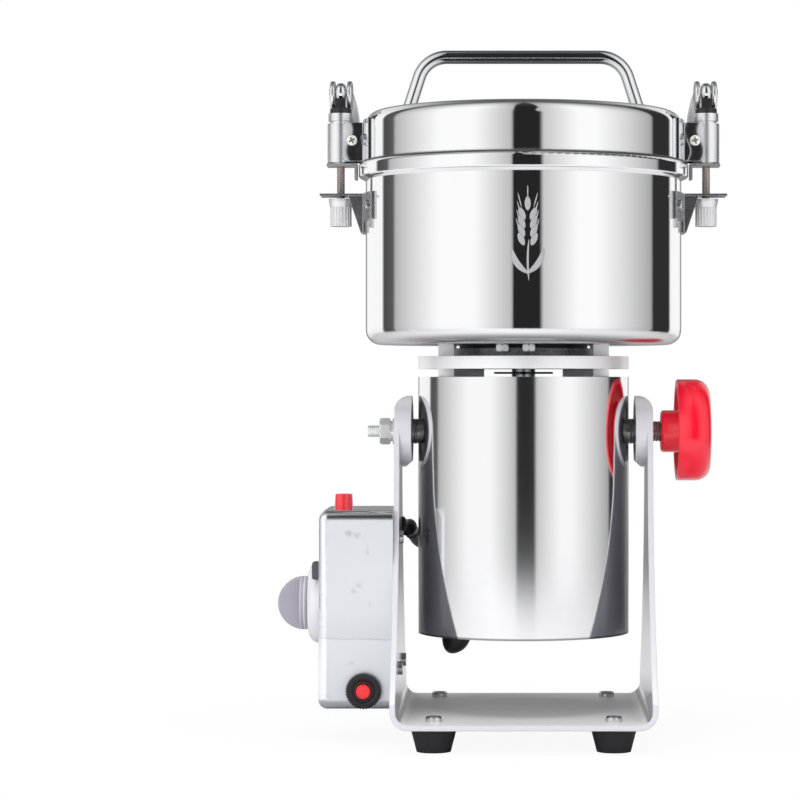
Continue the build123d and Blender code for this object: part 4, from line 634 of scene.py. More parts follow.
def box_sheet():
    material, place = start_material("box_sheet")
    x, _, z = place.parts()
    inward = place.math("MINIMUM", x - float(box_low[0]), float(box_high[2]) - z)
    inward = place.math("MINIMUM", inward, z - float(box_low[2]))
    edge = 1.0 - inward.step(0.7 * bent_edge, 1.2 * bent_edge)
    ripple = place.stretch(1.0, 1.0, 4.0).noise(16.0, 2.0)
    smudge = place.noise(110.0, 2.0).step(0.66, 0.78)
    haze = place.noise(30.0, 3.0)
    # painted shade: a dark wavy line and a faint darker band above it stand in for the shading of
    # a shallow dent
    waver = dent_line_waver * place.stretch(1.0, 1.0, 0.0).noise(55.0, 2.0)
    above = z - dent_line_height - waver + dent_line_rise
    line = 1.0 - place.math("ABSOLUTE", above).step(0.0001, 0.0005)
    dent_shade_band = above.step(0.0, 0.0006) * (1.0 - above.step(0.001, 0.016))
    tint = haze.mix((0.90, 0.94, 0.98, 1), (0.95, 0.98, 1.0, 1))
    smudges_and_dent_shade = 0.9 * smudge + 0.8 * line + 0.22 * dent_shade_band
    return finish_surface(material, Base_Color=smudges_and_dent_shade.mix(tint, (0.66, 0.69, 0.72, 1)),
                          Metallic=0.70 + 0.28 * edge, Roughness=0.42 - 0.32 * edge,
                          Coat_Weight=0.5, Coat_Roughness=0.04,
                          Normal=ripple.bump(6e-4, 0.5, soft_edge(place, 0.5)))


paint(box_sheet(), "switch_box")

# %% [markdown]
# ## Painted stand
# The stand is bent from thick sheet and sprayed with a satin silver paint, slightly violet.
# Paint flows a little before it sets and leaves the soft dimples called orange peel. The
# inner faces of the arms are painted dark, a painted shade between the arms and the mill, with
# a coat that only shines at a glance. The faces that point up, such as the plate under the mill,
# are painted white, a painted light from above. All are found by the normal: an inner face's
# points from its arm to the mill's axis, and the plate's points up.

# %% Stand paint
def stand_paint():
    material, place = start_material("stand_paint")
    peel = place.noise(420.0, 2.0)
    cloud = place.noise(18.0, 3.0)
    flake = place.noise(6000.0, 1.0).step(0.3, 0.8)
    colour = cloud.mix((0.66, 0.65, 0.70, 1), (0.72, 0.71, 0.76, 1))
    speckled = flake.mix(colour, (0.80, 0.79, 0.84, 1))
    x, _, _ = place.parts()
    facing_x, _, facing_up = place.node("NewGeometry", out="Normal").parts()
    # painted light: faces that point up, such as the plate under the mill, are painted white
    speckled = facing_up.step(0.6, 0.9).mix(speckled, (1.0, 1.0, 1.0, 1))
    # painted shade: faces of the arms that look towards the mill are painted dark, and get more
    # coat
    inner_shade_and_coat = ((mill_x - x) * facing_x).step(0.030, 0.045)
    return finish_surface(material, Base_Color=inner_shade_and_coat.mix(speckled, (0.20, 0.20, 0.23, 1)),
                          Metallic=0.12, Roughness=0.36 + 0.08 * cloud,
                          Coat_Weight=0.2 + 0.8 * inner_shade_and_coat, Coat_Roughness=0.12,
                          Normal=peel.bump(1.5e-5, 0.5, soft_edge(place, 0.9)))


paint(stand_paint(), "yoke")

# %% [markdown]
# ## Plastics and rubber
# Moulded plastic is one colour all through, so what makes it look moulded is its skin: a faint
# grain in the gloss and slightly soft edges. Rubber is the same with more grain and no gloss.

# %% Moulded finishes
def moulded(name, tint, roughness, grain_depth=4e-6, coat=0.0, edge_radius=0.4):
    material, place = start_material(name)
    grain = place.noise(1500.0, 3.0)
    cloud = place.noise(45.0, 3.0)
    colour = cloud.mix(shaded(tint, 0.90), shaded(tint, 1.0))
    return finish_surface(material, Base_Color=colour, Roughness=roughness * (0.8 + 0.4 * cloud),
                          Coat_Weight=coat, Coat_Roughness=0.05,
                          Normal=grain.bump(grain_depth, 0.5, soft_edge(place, edge_radius)))


paint(moulded("rubber", (0.022, 0.022, 0.024), 0.60, 2e-5, 0.0, 0.8), "rubber_feet",
      "bowl_gasket", "shaft_seal")
paint(moulded("silicone", (0.07, 0.07, 0.07), 0.45), "lid_gasket")
black_plastic = moulded("black_plastic", (0.016, 0.016, 0.018), 0.30)
paint(black_plastic, "breaker_body", "cord_gland",
      "motor_base_cover", "shaft_collars", "clamp_cap_left", "clamp_cap_right")
paint(moulded("cable_sheath", (0.014, 0.014, 0.015), 0.42), cable)
paint(moulded("inner_plastic", (0.07, 0.07, 0.08), 0.45), "timer_unit", "terminal_block",
      "cooling_fan")
paint(moulded("bezel_plastic", (0.80, 0.80, 0.84), 0.22, coat=0.4), "dial_bezel")
rocker_grey = moulded("rocker_grey", (0.09, 0.09, 0.10), 0.28)
paint(moulded("button_red", (0.95, 0.016, 0.022), 0.25, coat=0.5), "reset_button")
knob_red = moulded("knob_red", (0.96, 0.004, 0.030), 0.24, 2e-6, 0.5, 0.8)
paint(moulded("lamp_red", (0.98, 0.03, 0.045), 0.12, coat=0.8), "indicator_lamp")
print("materials", len(bpy.data.materials))

# %% [markdown]
# ## Timer dial
# The timer's dial is a mauve-grey half disc that stands on edge, which is what the fingers
# grip, on a round skirt. Two grooves run round the skirt where the mould was split, sunk by the
# bump and painted paler, as painted highlights on their edges. They are bands in the dial's own
# height above the box, so they stay put when the dial turns.

# %% Dial plastic
_, dial_high = corners(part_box("timer_knob"))


def dial_plastic():
    material, place = start_material("dial_plastic")
    across, _, _ = place.parts()
    from_base = float(dial_high[0]) - across
    # painted highlight: the two groove bands are painted paler than the body
    groove_and_highlight = from_base.step(0.0010, 0.0012) * (1 - from_base.step(0.0016, 0.0018)) \
        + from_base.step(0.0030, 0.0032) * (1 - from_base.step(0.0034, 0.0036))
    cloud = place.noise(120.0, 3.0)
    body = cloud.mix((0.36, 0.34, 0.40, 1), (0.42, 0.40, 0.46, 1))
    return finish_surface(material, Base_Color=groove_and_highlight.mix(body, (0.66, 0.64, 0.70, 1)),
                          Roughness=0.34 + 0.1 * cloud,
                          Normal=(cloud - 2 * groove_and_highlight).bump(3e-5, 0.5, soft_edge(place, 0.5)))


paint(dial_plastic(), "timer_knob")

# %% [markdown]
# ## Round bars with a thread
# Bolts, studs and clamp rods are round bars, and most of their length is threaded. A thread is
# a ridge that climbs once round the bar for each pitch, so the bar's radius is a function of
# the angle and the distance along it. A hexagonal head is the same idea: its radius grows
# towards the six corners. The bar is a grid of rings along its axis.

# %% Turned bars
round_steps = 24
angles = full_turn(round_steps)
unit_circle = np.stack([np.cos(angles), np.sin(angles)], axis=-1)


def thread_rings(start, end, crest, pitch, steps=8):
    """Rings of a thread: distances from start to end, steps to a pitch, and at each a radius
    that falls from the crest by 0.3 of the pitch and comes back, as a triangle wave of distance
    over pitch less the share of a turn. The last pitch at each end fades into the root."""
    count = int(abs(end - start) / pitch * steps) + 1
    along = np.linspace(start, end, count)
    phase = (along[:, None] / pitch - angles[None] / (2 * np.pi)) % 1.0
    ridge = 1 - np.abs(2 * phase - 1)
    fade = np.minimum(1, np.minimum(along - min(start, end), max(start, end) - along) / pitch)
    depth = 0.3 * pitch
    return along, crest - depth + depth * ridge * fade[:, None]


def hexagon_rings(start, end, flats):
    """Two rings with six flat sides: the distance to a flat over the cosine of the angle from
    the flat's middle."""
    from_flat = (angles + np.pi / 6) % (np.pi / 3) - np.pi / 6
    radius = flats / 2 / np.cos(from_flat)
    return np.array([start, end]), np.stack([radius, radius])


def plain_rings(start, end, radius):
    return np.array([start, end]), np.full((2, round_steps), radius)


def bar_grid(centre, axis, *stretches):
    """Grid of a bar: each ring of every stretch is the unit circle times its radius, moved
    along the axis (0 for X, 2 for Z) by its distance from the centre."""
    along = np.concatenate([stretch[0] for stretch in stretches])
    radius = np.concatenate([stretch[1] for stretch in stretches])
    grid = np.zeros((len(along), round_steps, 3))
    grid[..., axis] = along[:, None]
    first, second = [k for k in range(3) if k != axis]
    grid[..., first] = radius * unit_circle[:, 0]
    grid[..., second] = radius * unit_circle[:, 1]
    return grid + np.array(centre)


print("bars have", round_steps, "sides")

# %% [markdown]
# ## Pivot bolt and pivot stud
# The mill swings on two studs that are fixed in the motor's sleeve. The left one is a thin bolt
# that a nut holds outside the arm. The right one is thick and dark, and the red knob screws
# down on it to lock the swing. Both carry a thread all the way, and a head inside the sleeve.

# %% Pivots
bolt_low, bolt_high = corners(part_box("pivot_bolt"))
bolt_radius, bolt_pitch, bolt_head = 0.0030, 0.0010, 0.0100
stud_radius, stud_pitch, stud_head = 0.00525, 0.0015, 0.0170
head_height = 0.004
pivot_centre = (0, 0, pivot_z)
bolt_grid = bar_grid(pivot_centre, 0,
                     plain_rings(bolt_low[0], bolt_low[0] + 0.0001, bolt_radius - bolt_pitch / 2),
                     thread_rings(bolt_low[0] + 0.0003, bolt_high[0] - head_height - 0.0005,
                                  bolt_radius, bolt_pitch),
                     hexagon_rings(bolt_high[0] - head_height, bolt_high[0], bolt_head))
stud_grid = bar_grid(pivot_centre, 0,
                     hexagon_rings(pivot_low[0], pivot_low[0] + head_height, stud_head),
                     thread_rings(pivot_low[0] + head_height + 0.0005, pivot_high[0] - 0.0005,
                                  stud_radius, stud_pitch))
bolt_piece = place_piece(shell_mesh("pivot_bolt_thread", bolt_grid), "mill", "zinc_screw",
                         "pivot_bolt")
stud_piece = place_piece(shell_mesh("pivot_stud_thread", stud_grid), "mill", "zinc_screw",
                         "pivot_stud")
paint(pale_zinc, bolt_piece)
paint(dark_zinc, stud_piece)
print("bolt", len(bolt_piece.data.polygons), "faces, stud", len(stud_piece.data.polygons))

# %% [markdown]
# ## Spacers and pivot nut
# Between the sleeve and each arm sits a dark ribbed spacer. Outside the left arm come a washer,
# a spring washer and the nut. The nut's corners are turned off at both ends: there its radius
# is the lesser of the hexagon's and a round one's.

# %% Pivot hardware
sleeve_low, sleeve_high = corners(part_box("motor_sleeve"))
hardware_low, hardware_high = corners(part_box("pivot_nuts"))
spacer_radius, spacer_pitch = 0.0065, 0.0013
spacer_seat = 0.0005
spacer_length = float(hardware_high[0] - sleeve_high[0])
washer_thickness = 0.0012
arm_outside = 0.0650
nut_flats, nut_chamfer, spring_radius = 0.0116, 0.0007, 0.0051


def turned_nut(start, end, flats):
    """Rings of a nut: round at both ends, as wide as the flats, and six-sided between."""
    along, radius = hexagon_rings(start + nut_chamfer, end - nut_chamfer, flats)
    turned = np.minimum(radius[0], flats / 2 + 0.0001)
    return (np.array([start, along[0], along[1], end]),
            np.stack([turned, radius[0], radius[1], turned]))


spacers = [bar_grid(pivot_centre, 0, thread_rings(start, start + spacer_length + spacer_seat,
                                                  spacer_radius, spacer_pitch))
           for start in (sleeve_high[0] - spacer_seat, sleeve_low[0] - spacer_length)]
washer_face = mill_x - arm_outside - 0.00005
washers = [bar_grid(pivot_centre, 0, plain_rings(washer_face - washer_thickness, washer_face,
                                                 spacer_radius)),
           bar_grid(pivot_centre, 0, plain_rings(washer_face - 2 * washer_thickness,
                                                 washer_face - washer_thickness, spring_radius)),
           bar_grid(pivot_centre, 0, turned_nut(float(hardware_low[0]),
                                                washer_face - 2 * washer_thickness, nut_flats))]
spacer_piece = place_piece(shell_mesh("ribbed_spacers", *spacers), "mill", "zinc_screw",
                           "pivot_nuts")
paint(dark_zinc, spacer_piece)
nut_piece = place_piece(shell_mesh("pivot_nut_and_washers", *washers, smooth=False), "mill",
                        "zinc_screw")
paint(pale_zinc, nut_piece)
print("spacers", round(spacer_length, 4), "long, nut from", round(float(hardware_low[0]), 4))

# %% [markdown]
# ## Drum nuts
# Four small bright nuts stand on the drum's edge and hold the bowl to the end bell, two of
# them in front. They are hexagons with turned ends, like the pivot's nut, set upright.

# %% Drum nuts
drum_edge, drum_nut_flats, drum_nut_height = 0.0362, 0.0062, 0.0036
drum_nuts = []
for nut_bearing in (4.0, -17.0, 184.0, 163.0):
    nut_angle = math.radians(nut_bearing)
    centre = (mill_x + drum_edge * math.sin(nut_angle), -drum_edge * math.cos(nut_angle), 0.0)
    drum_nuts.append(bar_grid(centre, 2, turned_nut(bowl_bottom - drum_nut_height,
                                                    bowl_bottom - 0.0001, drum_nut_flats)))
drum_piece = place_piece(shell_mesh("drum_nuts", *drum_nuts, smooth=False), "mill",
                         "zinc_screw")
paint(pale_zinc, drum_piece)
print("drum nuts", len(drum_piece.data.polygons), "faces")

# %% [markdown]
# ## Lock knob
# The knob is a moulded red cup with its open side towards the arm and a round hub in the
# middle, which screws on the stud. Seen along its axis it is a rounded triangle, so its radius
# is a cosine of three times the bearing. The section runs from the hub's face along the hub,
# round the inside of the cup, over its rim and round the broad shoulder to the middle.

# %% Knob
knob_low, knob_high = corners(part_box("lock_knob"))
knob_radius, knob_wall, knob_shoulder, knob_dome = 0.0264, 0.0026, 0.0075, 0.0009
hub_radius, hub_round, knob_bore = 0.01065, 0.0015, 0.0054
cup_start = float(knob_low[0]) + 0.0079
lobe_depth, lobe_bearing = 0.055, math.radians(156)


def knob_section():
    """Radius and X of the section's points. Round stretches are quarter circles."""
    quarter = np.linspace(0, np.pi / 2, 9)
    face, back = float(knob_low[0]), float(knob_high[0]) - knob_dome
    floor_x = back - knob_wall
    hub = [(knob_bore, face)] + list(zip(hub_radius - hub_round + hub_round * np.sin(quarter),
                                         face + hub_round - hub_round * np.cos(quarter)))
    cup = [(hub_radius, floor_x), (knob_radius - knob_wall, floor_x),
           (knob_radius - knob_wall, cup_start + 0.0004), (knob_radius - knob_wall + 0.0004,
                                                           cup_start)]
    rim = [(knob_radius - 0.0005, cup_start), (knob_radius, cup_start + 0.0005)]
    shoulder = list(zip(knob_radius - knob_shoulder + knob_shoulder * np.cos(quarter),
                        back - knob_shoulder + knob_shoulder * np.sin(quarter)))
    top = [(0.6 * knob_radius * share, back + knob_dome * (1 - share ** 2))
           for share in (0.9, 0.6, 0.3, 0.02)]
    return np.array(hub + cup + rim + shoulder + top)


section = knob_section()
knob_turn = full_turn(120)
lobed = np.clip((section[:, :1] - hub_radius) / (knob_radius - hub_radius), 0, 1)
knob_rings = section[:, :1] * (1 - lobe_depth * lobed * (0.5 + 0.5 * np.cos(
    3 * (knob_turn[None] - lobe_bearing))))
knob_grid = np.stack([np.broadcast_to(section[:, 1:], knob_rings.shape),
                      knob_rings * np.cos(knob_turn), pivot_z + knob_rings * np.sin(knob_turn)],
                     axis=-1)
knob_piece = place_piece(shell_mesh("red_knob", knob_grid), "lock_knob", "knob_red", "lock_knob")
paint(knob_red, knob_piece)
print("knob", len(knob_piece.data.polygons), "faces")

# %% [markdown]
# ## Elbow, rocker, breaker nut and boot
# Four small dark fittings guide the cable and work the switch box. The rubber elbow that leads
# the cable out has a flange, a bead and a lip, so its radius along the bend is a sum of bumps.
# The rocker is a cushion with a shallow saddle. The breaker is held by a knurled ring nut, whose
# radius is a cosine of 36 times the bearing, and its middle is sunk round the red button. The
# boot under the motor, where the cable goes in, leans over and narrows towards it.

# %% Elbow
bend_steps = 48
along_bend = np.linspace(0, 1, bend_steps)
elbow_reach = 0.011
hose_radius = 0.0033
elbow_bumps = [(0.0006, 0.96, 0.05), (0.0013, 0.62, 0.14), (0.0012, 0.26, 0.07)]


def bend_line(start, corner, end):
    """Points of a bend that leaves start towards the corner and comes to end from it. With t
    from 0 to 1: start (1 - t)^2 + corner 2 t (1 - t) + end t^2."""
    share = along_bend[:, None]
    return (1 - share) ** 2 * start + 2 * share * (1 - share) * corner + share ** 2 * end


elbow_low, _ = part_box("cable_elbow")
elbow_mouth = cable_route[0]
elbow_way = (cable_route[1] - cable_route[0]) / np.linalg.norm(cable_route[1] - cable_route[0])
elbow_corner = elbow_mouth - elbow_reach * elbow_way
elbow_start = np.array([float(elbow_low[0]), elbow_corner[1], elbow_corner[2]])
# each bump is its height times e to the power of minus the square of (t - middle) / width
elbow_radius = sum((height * np.exp(-((along_bend - middle) / width) ** 2)
                    for height, middle, width in elbow_bumps), hose_radius)
elbow_line = bend_line(elbow_start, elbow_corner, elbow_mouth)
elbow_piece = place_piece(shell_mesh("rubber_elbow", tube_along(elbow_line, elbow_radius, 32)),
                          "stand", "black_plastic", "cable_elbow")
paint(black_plastic, elbow_piece)
print("elbow", len(elbow_piece.data.polygons), "faces")


# %% Rocker
def squared(wave):
    """A sine or cosine to the power of 0.5 with its sign kept: the circle that two of them
    draw becomes a square with round corners."""
    return np.sign(wave) * np.abs(wave) ** 0.5


rocker_low, rocker_high = corners(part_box("rocker"))
rocker_middle, rocker_half = (rocker_low + rocker_high) / 2, (rocker_high - rocker_low) / 2
rocker_turn = full_turn(64)
saddle_depth = 0.10
saddle = saddle_depth * np.cos(rocker_turn * 2) * (np.cos(rocker_turn) < 0)
slices = np.array([(-1.0, 0.80), (-0.94, 0.93), (-0.8, 1.0),   # place across, and size
                   (0.8, 1.0), (0.94, 0.93), (1.0, 0.80)])
cushion_x = slices[:, 1:] * (squared(np.cos(rocker_turn)) + saddle)
cushion_z = slices[:, 1:] * squared(np.sin(rocker_turn))
cushion = np.stack([cushion_x, np.broadcast_to(slices[:, :1], cushion_x.shape), cushion_z],
                   axis=-1)
rocker_piece = place_piece(shell_mesh("rocker_cushion", rocker_middle + rocker_half * cushion),
                           "rocker", "rocker_grey", "rocker")
paint(rocker_grey, rocker_piece)
print("rocker", len(rocker_piece.data.polygons), "faces")

# %% Breaker nut
breaker_low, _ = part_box("breaker_body")
button_middle = sum(corners(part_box("reset_button"))) / 2
nut_front, nut_back = float(breaker_low[1]) - 0.0002, float(box_low[1]) - 0.00005
nut_floor = nut_front + 0.0007
nut_section = np.array([(0.0086, nut_back), (0.0086, nut_front + 0.0005), (0.0081, nut_front),
                        (0.0056, nut_front), (0.0052, nut_floor), (0.0040, nut_floor)])
knurl_count, knurl_depth, knurl_inside = 36, 0.050, 0.0080
nut_turn = full_turn(8 * knurl_count)
knurl = knurl_depth * np.clip(np.cos(knurl_count * nut_turn), -0.5, 1) \
    * (nut_section[:, :1] > knurl_inside)
nut_rings = nut_section[:, :1] * (1 + knurl)
ring_nut = np.stack([float(button_middle[0]) + nut_rings * np.cos(nut_turn),
                     np.broadcast_to(nut_section[:, 1:], nut_rings.shape),
                     float(button_middle[2]) + nut_rings * np.sin(nut_turn)], axis=-1)
ring_piece = place_piece(shell_mesh("knurled_ring", ring_nut), "stand", "black_plastic")
paint(black_plastic, ring_piece)
print("breaker nut", len(ring_piece.data.polygons), "faces")

# %% Gland boot
gland_way = mill_axis + millimetre * np.array(
    [(-32.5, 6.5, 54.0), (-38.0, 6.5, 42.5), (-37.0, 16.0, 46.0)])
boot_flare, boot_reach = 0.0038, 0.55
boot_radius = hose_radius + boot_flare * np.exp(-(along_bend / boot_reach) ** 4)
boot_piece = place_piece(shell_mesh("gland_boot",
                                    tube_along(bend_line(*gland_way), boot_radius, 32)),
                         "mill", "black_plastic", "base_gland")
paint(black_plastic, boot_piece)
print("boot", len(boot_piece.data.polygons), "faces")

# %% [markdown]
# ## Plates with rounded edges
# A pressed or cast lever has no sharp corner anywhere. Such a plate is an outline that is
# carried across its thickness, and drawn in a little towards both faces, as a quarter circle.
# The points of the outline are drawn in along the outline's own normal.

# %% Rounded plates
def rounded_plate(outline, start, end, round_radius, steps=5):
    """Grid of a plate across X from start to end. At each step the quarter circle's angle t
    moves the ring in along the outline's normal by round_radius (1 - sin t) and across by
    round_radius (1 - cos t) from the face."""
    ahead = np.roll(outline, -1, axis=0) - np.roll(outline, 1, axis=0)
    normal = np.stack([ahead[:, 1], -ahead[:, 0]], axis=-1)
    normal /= np.linalg.norm(normal, axis=1, keepdims=True)
    turn = np.linspace(0, np.pi / 2, steps)
    inset = round_radius * (1 - np.sin(turn))
    across_in = round_radius * (1 - np.cos(turn))
    across = np.concatenate([start + across_in, (end - across_in)[::-1]])
    inset = np.concatenate([inset, inset[::-1]])
    ring = outline[None] - inset[:, None, None] * normal[None]
    grid = np.zeros(ring.shape[:2] + (3,))
    grid[..., 0] = across[:, None]
    grid[..., 1:] = ring
    return grid


def strip_grid(line, width, thickness):
    """Grid of a flat strip whose middle follows a line in the plane across X. Each section is
    a superellipse, width wide and thickness thick: cosine and sine of the angle, each to the
    power of 0.5 with its sign kept, which is a rectangle with round corners."""
    along = np.gradient(line, axis=0)
    along /= np.linalg.norm(along, axis=1, keepdims=True)
    up = np.stack([0 * along[:, 0], -along[:, 2], along[:, 1]], axis=-1)
    wide, thick = squared(unit_circle[:, 0]), squared(unit_circle[:, 1])
    side = np.array([1.0, 0.0, 0.0])
    return (line[:, None] + 0.5 * width[:, None, None] * wide[None, :, None] * side
            + 0.5 * thickness * thick[None, :, None] * up[:, None])


print("plate helpers ready")

# %% [markdown]
# ## Clamp levers
# Each clamp ends in a cam lever. Two ears stand on either side of the rod's eye, on one pin,
# and press on the black cap below. The ears are round, a little flattened on top, and joined
# behind by a curved handle that hangs down behind the clamp. Pressing the handle down turns
# the cams and pulls the rod up.

# %% Levers
ear_inside, ear_outside, ear_round = 0.0029, 0.0057, 0.0011   # from the clamp's middle, in X
cam_radius, cam_behind = 0.0080, 0.0052
ear_height, ear_horn = 0.0052, 0.0009
lever_length, lever_drop = 0.046, 0.020
strip_thickness, tip_width = 0.0022, 0.015
strip_start = cam_behind + cam_radius / 2
tip_taper = np.array([0.96, 0.85, 0.6])
pin_radius, pin_stands_out = 0.0014, 0.0002
levers = {}
for side in ("left", "right"):
    low, high = corners(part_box(f"clamp_lever_{side}"))
    middle = (low[0] + high[0]) / 2
    pin_z = high[2] - ear_height
    turn = full_turn(48)
    tall = np.where(np.sin(turn) > 0, ear_height + ear_horn, cam_radius + ear_horn)
    ear_outline = np.stack([cam_behind + cam_radius * np.cos(turn), pin_z + tall * np.sin(turn)],
                           axis=-1)
    ears = [rounded_plate(ear_outline, middle + ear_inside, middle + ear_outside, ear_round),
            rounded_plate(ear_outline, middle - ear_outside, middle - ear_inside, ear_round)]
    share = np.linspace(0, 1, 25)
    back = strip_start + (lever_length - strip_start) * share
    drop = pin_z + 0.001 - lever_drop * share ** 1.8
    line = np.stack([np.full_like(share, middle), back, drop], axis=-1)
    width = 2 * ear_outside + (tip_width - 2 * ear_outside) * np.clip(share * 2 - 0.4, 0, 1)
    width[-len(tip_taper):] *= tip_taper
    handle = strip_grid(line, width, strip_thickness)
    pin = bar_grid((middle, 0, pin_z), 0,
                   plain_rings(-ear_outside - pin_stands_out, ear_outside + pin_stands_out,
                               pin_radius))
    lever = place_piece(shell_mesh(f"cam_lever_{side}", *ears, handle, pin), f"lever_{side}",
                        "chrome_trim", f"clamp_lever_{side}")
    paint(satin_chrome, lever)
    levers[side] = lever
print("levers", [len(lever.data.polygons) for lever in levers.values()])

# %% [markdown]
# ## Clamp rods
# The rod runs from its eye between the ears, down through the barrel and the shelf, into the
# fluted nut. The eye is a polished lozenge with well rounded edges, and in front of it the
# black cap has a small raised guard. Below the barrel the rod is threaded, and its zinc has
# gone slightly brown.

# %% Rods
rod_radius, rod_pitch = 0.0021, 0.0008
eye_radius, eye_half, eye_round = 0.0046, 0.0025, 0.0020
plain_above_barrel = 0.0125              # where the thread has ended
guard_half, guard_front, guard_round = 0.0027, 0.0051, 0.0003
guard_thickness, guard_height = 0.0008, 0.0045
brown_zinc = plated_metal("brown_zinc", (0.46, 0.39, 0.35), 0.28, 1600.0, 1e-5, 0)
rods = {}
for side in ("left", "right"):
    low, high = corners(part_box(f"clamp_rod_{side}"))
    barrel_low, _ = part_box(f"clamp_barrel_{side}")
    middle = (low[0] + high[0]) / 2
    eye_z = high[2] - eye_radius
    shank = bar_grid((middle, 0, 0), 2,
                     plain_rings(low[2], low[2] + 0.0001, rod_radius - rod_pitch / 2),
                     thread_rings(low[2] + 0.0003, barrel_low[2] + 0.012, rod_radius, rod_pitch),
                     plain_rings(barrel_low[2] + plain_above_barrel, eye_z - eye_radius / 2,
                                 rod_radius - rod_pitch / 4))
    turn = full_turn(40)
    eye_outline = np.stack([eye_radius * np.cos(turn), eye_z + eye_radius * np.sin(turn)],
                           axis=-1)
    eye = rounded_plate(eye_outline, middle - eye_half, middle + eye_half, eye_round)
    rod = place_piece(shell_mesh(f"threaded_rod_{side}", shank), f"rod_{side}", "zinc_screw",
                      f"clamp_rod_{side}")
    paint(brown_zinc, rod)
    eye_piece = place_piece(shell_mesh(f"rod_eye_{side}", eye), f"rod_{side}", "chrome_trim")
    paint(chrome, eye_piece)
    _, cap_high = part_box(f"clamp_cap_{side}")
    guard_outline = np.stack([0.5 * guard_thickness * np.cos(turn) - guard_front,
                              float(cap_high[2]) + guard_height * (0.4 + 0.6 * np.sin(turn))],
                             axis=-1)
    guard = rounded_plate(guard_outline, middle - guard_half, middle + guard_half, guard_round)
    guard_piece = place_piece(shell_mesh(f"cap_guard_{side}", guard), f"clamp_{side}",
                              "black_plastic")
    paint(black_plastic, guard_piece)
    rods[side] = rod
print("rods", [len(rod.data.polygons) for rod in rods.values()])

# %% [markdown]
# ## Hinge screws
# A pan-head screw with a cross recess is the axle of each clamp, and it faces the front. The
# head is a low dome. The cross is cut by lowering the dome wherever the point is close to one
# of two crossed lines, and the slope of that edge is soft, as a pressed recess is.

# %% Cross-recessed heads
head_radius, head_dome, recess_depth = 0.0026, 0.0009, 0.0013
recess_half_width, recess_reach = 0.00042, 0.0017
recess_side, recess_end = 0.00012, 0.0002   # how far its edges slope
head_skirt = 0.0012


def cross_head(centre_x, front_y, centre_z, tilt):
    """Grid of a screw head that faces -Y: rings of growing radius r, each lifted by
    dome (1 - (r / radius)^2). Where a point is nearer than half a slot's width to either line of
    the cross and inside its reach, it is sunk by the recess's depth, over a soft edge."""
    radius = head_radius * np.linspace(0.02, 1, 26)[:, None]
    angle = full_turn(96)[None]
    x, z = radius * np.cos(angle), radius * np.sin(angle)
    u, v = (x * np.cos(tilt) + z * np.sin(tilt)), (z * np.cos(tilt) - x * np.sin(tilt))
    nearest = np.minimum(np.abs(u), np.abs(v))
    slot = np.clip((recess_half_width - nearest) / recess_side + 0.5, 0, 1)
    inside = np.clip((recess_reach - radius) / recess_end, 0, 1)
    lift = head_dome * (1 - (radius / head_radius) ** 2) - recess_depth * slot * inside
    face = np.stack([centre_x + x, front_y - lift, centre_z + z], axis=-1)
    skirt = face[-1:] + (0, head_skirt, 0)
    return np.concatenate([face, skirt])


heads = [cross_head(float(centre[0]), float(centre[1]), float(centre[2]), tilt)
         for centre, tilt in zip(screw_centres, (0.5, 0.25))]
hinge_heads = place_piece(shell_mesh("hinge_screw_heads", *heads), "lid", "zinc_screw")


def zinc_with_recess_shade(front_y):
    """Yellowish zinc whose colour is painted black in the recess, a painted shade there; the
    recess is the only part that lies behind front_y.
    """
    material, place = start_material("zinc_with_recess_shade")
    _, y, _ = place.parts()
    # painted shade: the cross recess is painted black
    sunk = (y - front_y).step(0.0, 0.0002)
    cloud = place.noise(400.0, 2.0)
    return finish_surface(material, Base_Color=sunk.mix((0.93, 0.92, 0.86, 1),
                                                        (0.03, 0.03, 0.03, 1)),
                          Metallic=0.6, Roughness=0.26 + 0.08 * cloud)


paint(zinc_with_recess_shade(float(screw_centres[0][1])), hinge_heads)
print("hinge screw heads", len(hinge_heads.data.polygons), "faces")

# %% [markdown]
# ## Etched mark
# Bowls of this kind carry a small mark etched into the polish. This one is a plain ear of
# grain: a stalk, two leaves, and kernels in pairs. Each shape is a thin patch that lies on the
# bowl: its outline is drawn flat, in millimetres across and up, and then wrapped round the
# bowl's radius. The patch is only a few hundredths of a millimetre thick.

# %% Ear of grain
bowl_radius = 0.0800
mark_height = 0.2500
mark_bearing = 1.8
mark_lift = 0.00004
mark_turn = full_turn(36)


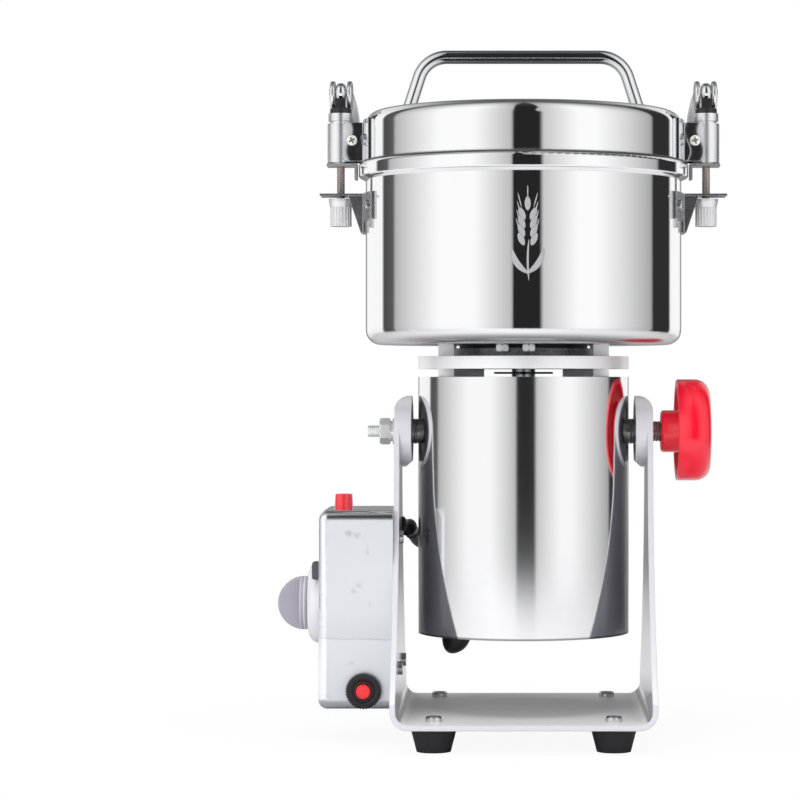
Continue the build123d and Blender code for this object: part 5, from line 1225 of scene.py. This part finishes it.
def leaf_outline(centre, length, width, lean, bend=0.0):
    """Pointed oval: half the length times the cosine along, half the width times the sine to
    the power 1.3 across, turned by lean from upright and bent sideways by bend times the square
    of the distance along."""
    along = length / 2 * np.cos(mark_turn)
    wave = np.sin(mark_turn)
    across = width / 2 * np.sign(wave) * np.abs(wave) ** 1.3
    across = across + bend * along ** 2
    tilt = math.radians(lean)
    return np.stack([centre[0] + across * math.cos(tilt) + along * math.sin(tilt),
                     centre[1] - across * math.sin(tilt) + along * math.cos(tilt)], axis=-1)


def wrapped_patch(outline):
    """Grid of a patch on the bowl: the outline below the surface, then on it, then shrunk
    towards its middle. A point u millimetres across is at bearing u / radius, and its distance
    from the axis is the bowl's radius plus the lift."""
    middle = outline.mean(axis=0)
    shrink = np.array([1.0, 1.0, 0.66, 0.33, 0.04])[:, None, None]
    lift = np.array([-0.0003, mark_lift, mark_lift, mark_lift, mark_lift])[:, None]
    flat = middle + shrink * (outline[None] - middle)
    bearing = (mark_bearing + flat[..., 0]) * millimetre / bowl_radius
    out = bowl_radius + lift
    return np.stack([mill_x + out * np.sin(bearing), -out * np.cos(bearing),
                     mark_height + flat[..., 1] * millimetre], axis=-1)


kernels = [leaf_outline((side * (3.1 - 0.12 * row), -1.0 + 4.1 * row), 6.6, 2.9, side * 24)
           for row in range(4) for side in (-1, 1)]
awns = [leaf_outline((side * (4.6 - 0.25 * row), 5.5 + 4.1 * row), 7.5, 0.55, side * 15)
        for row in range(4) for side in (-1, 1)]
tip = [leaf_outline((0, 16.2), 7.0, 2.9, 0), leaf_outline((0, 22.0), 6.0, 0.6, 0)]
stalk = [leaf_outline((0, -11.0), 20.0, 1.0, 0, 0.006)]
leaves = [leaf_outline((side * 5.2, -12.5), 15.0, 3.0, side * 34, -side * 0.035)
          for side in (-1, 1)]
mark = place_piece(shell_mesh("etched_ear", *[wrapped_patch(shape) for shape
                                              in kernels + awns + tip + stalk + leaves]),
                   "mill", "bowl_steel")


def etched_steel():
    material, place = start_material("etched_steel")
    grain = place.noise(5000.0, 3.0)
    return finish_surface(material, Metallic=0.45, Roughness=0.55,
                          Base_Color=grain.mix((0.44, 0.44, 0.46, 1), (0.56, 0.56, 0.58, 1)),
                          Normal=grain.bump(4e-6, 0.5))


paint(etched_steel(), mark)
print("ear of grain", len(mark.data.polygons), "faces")
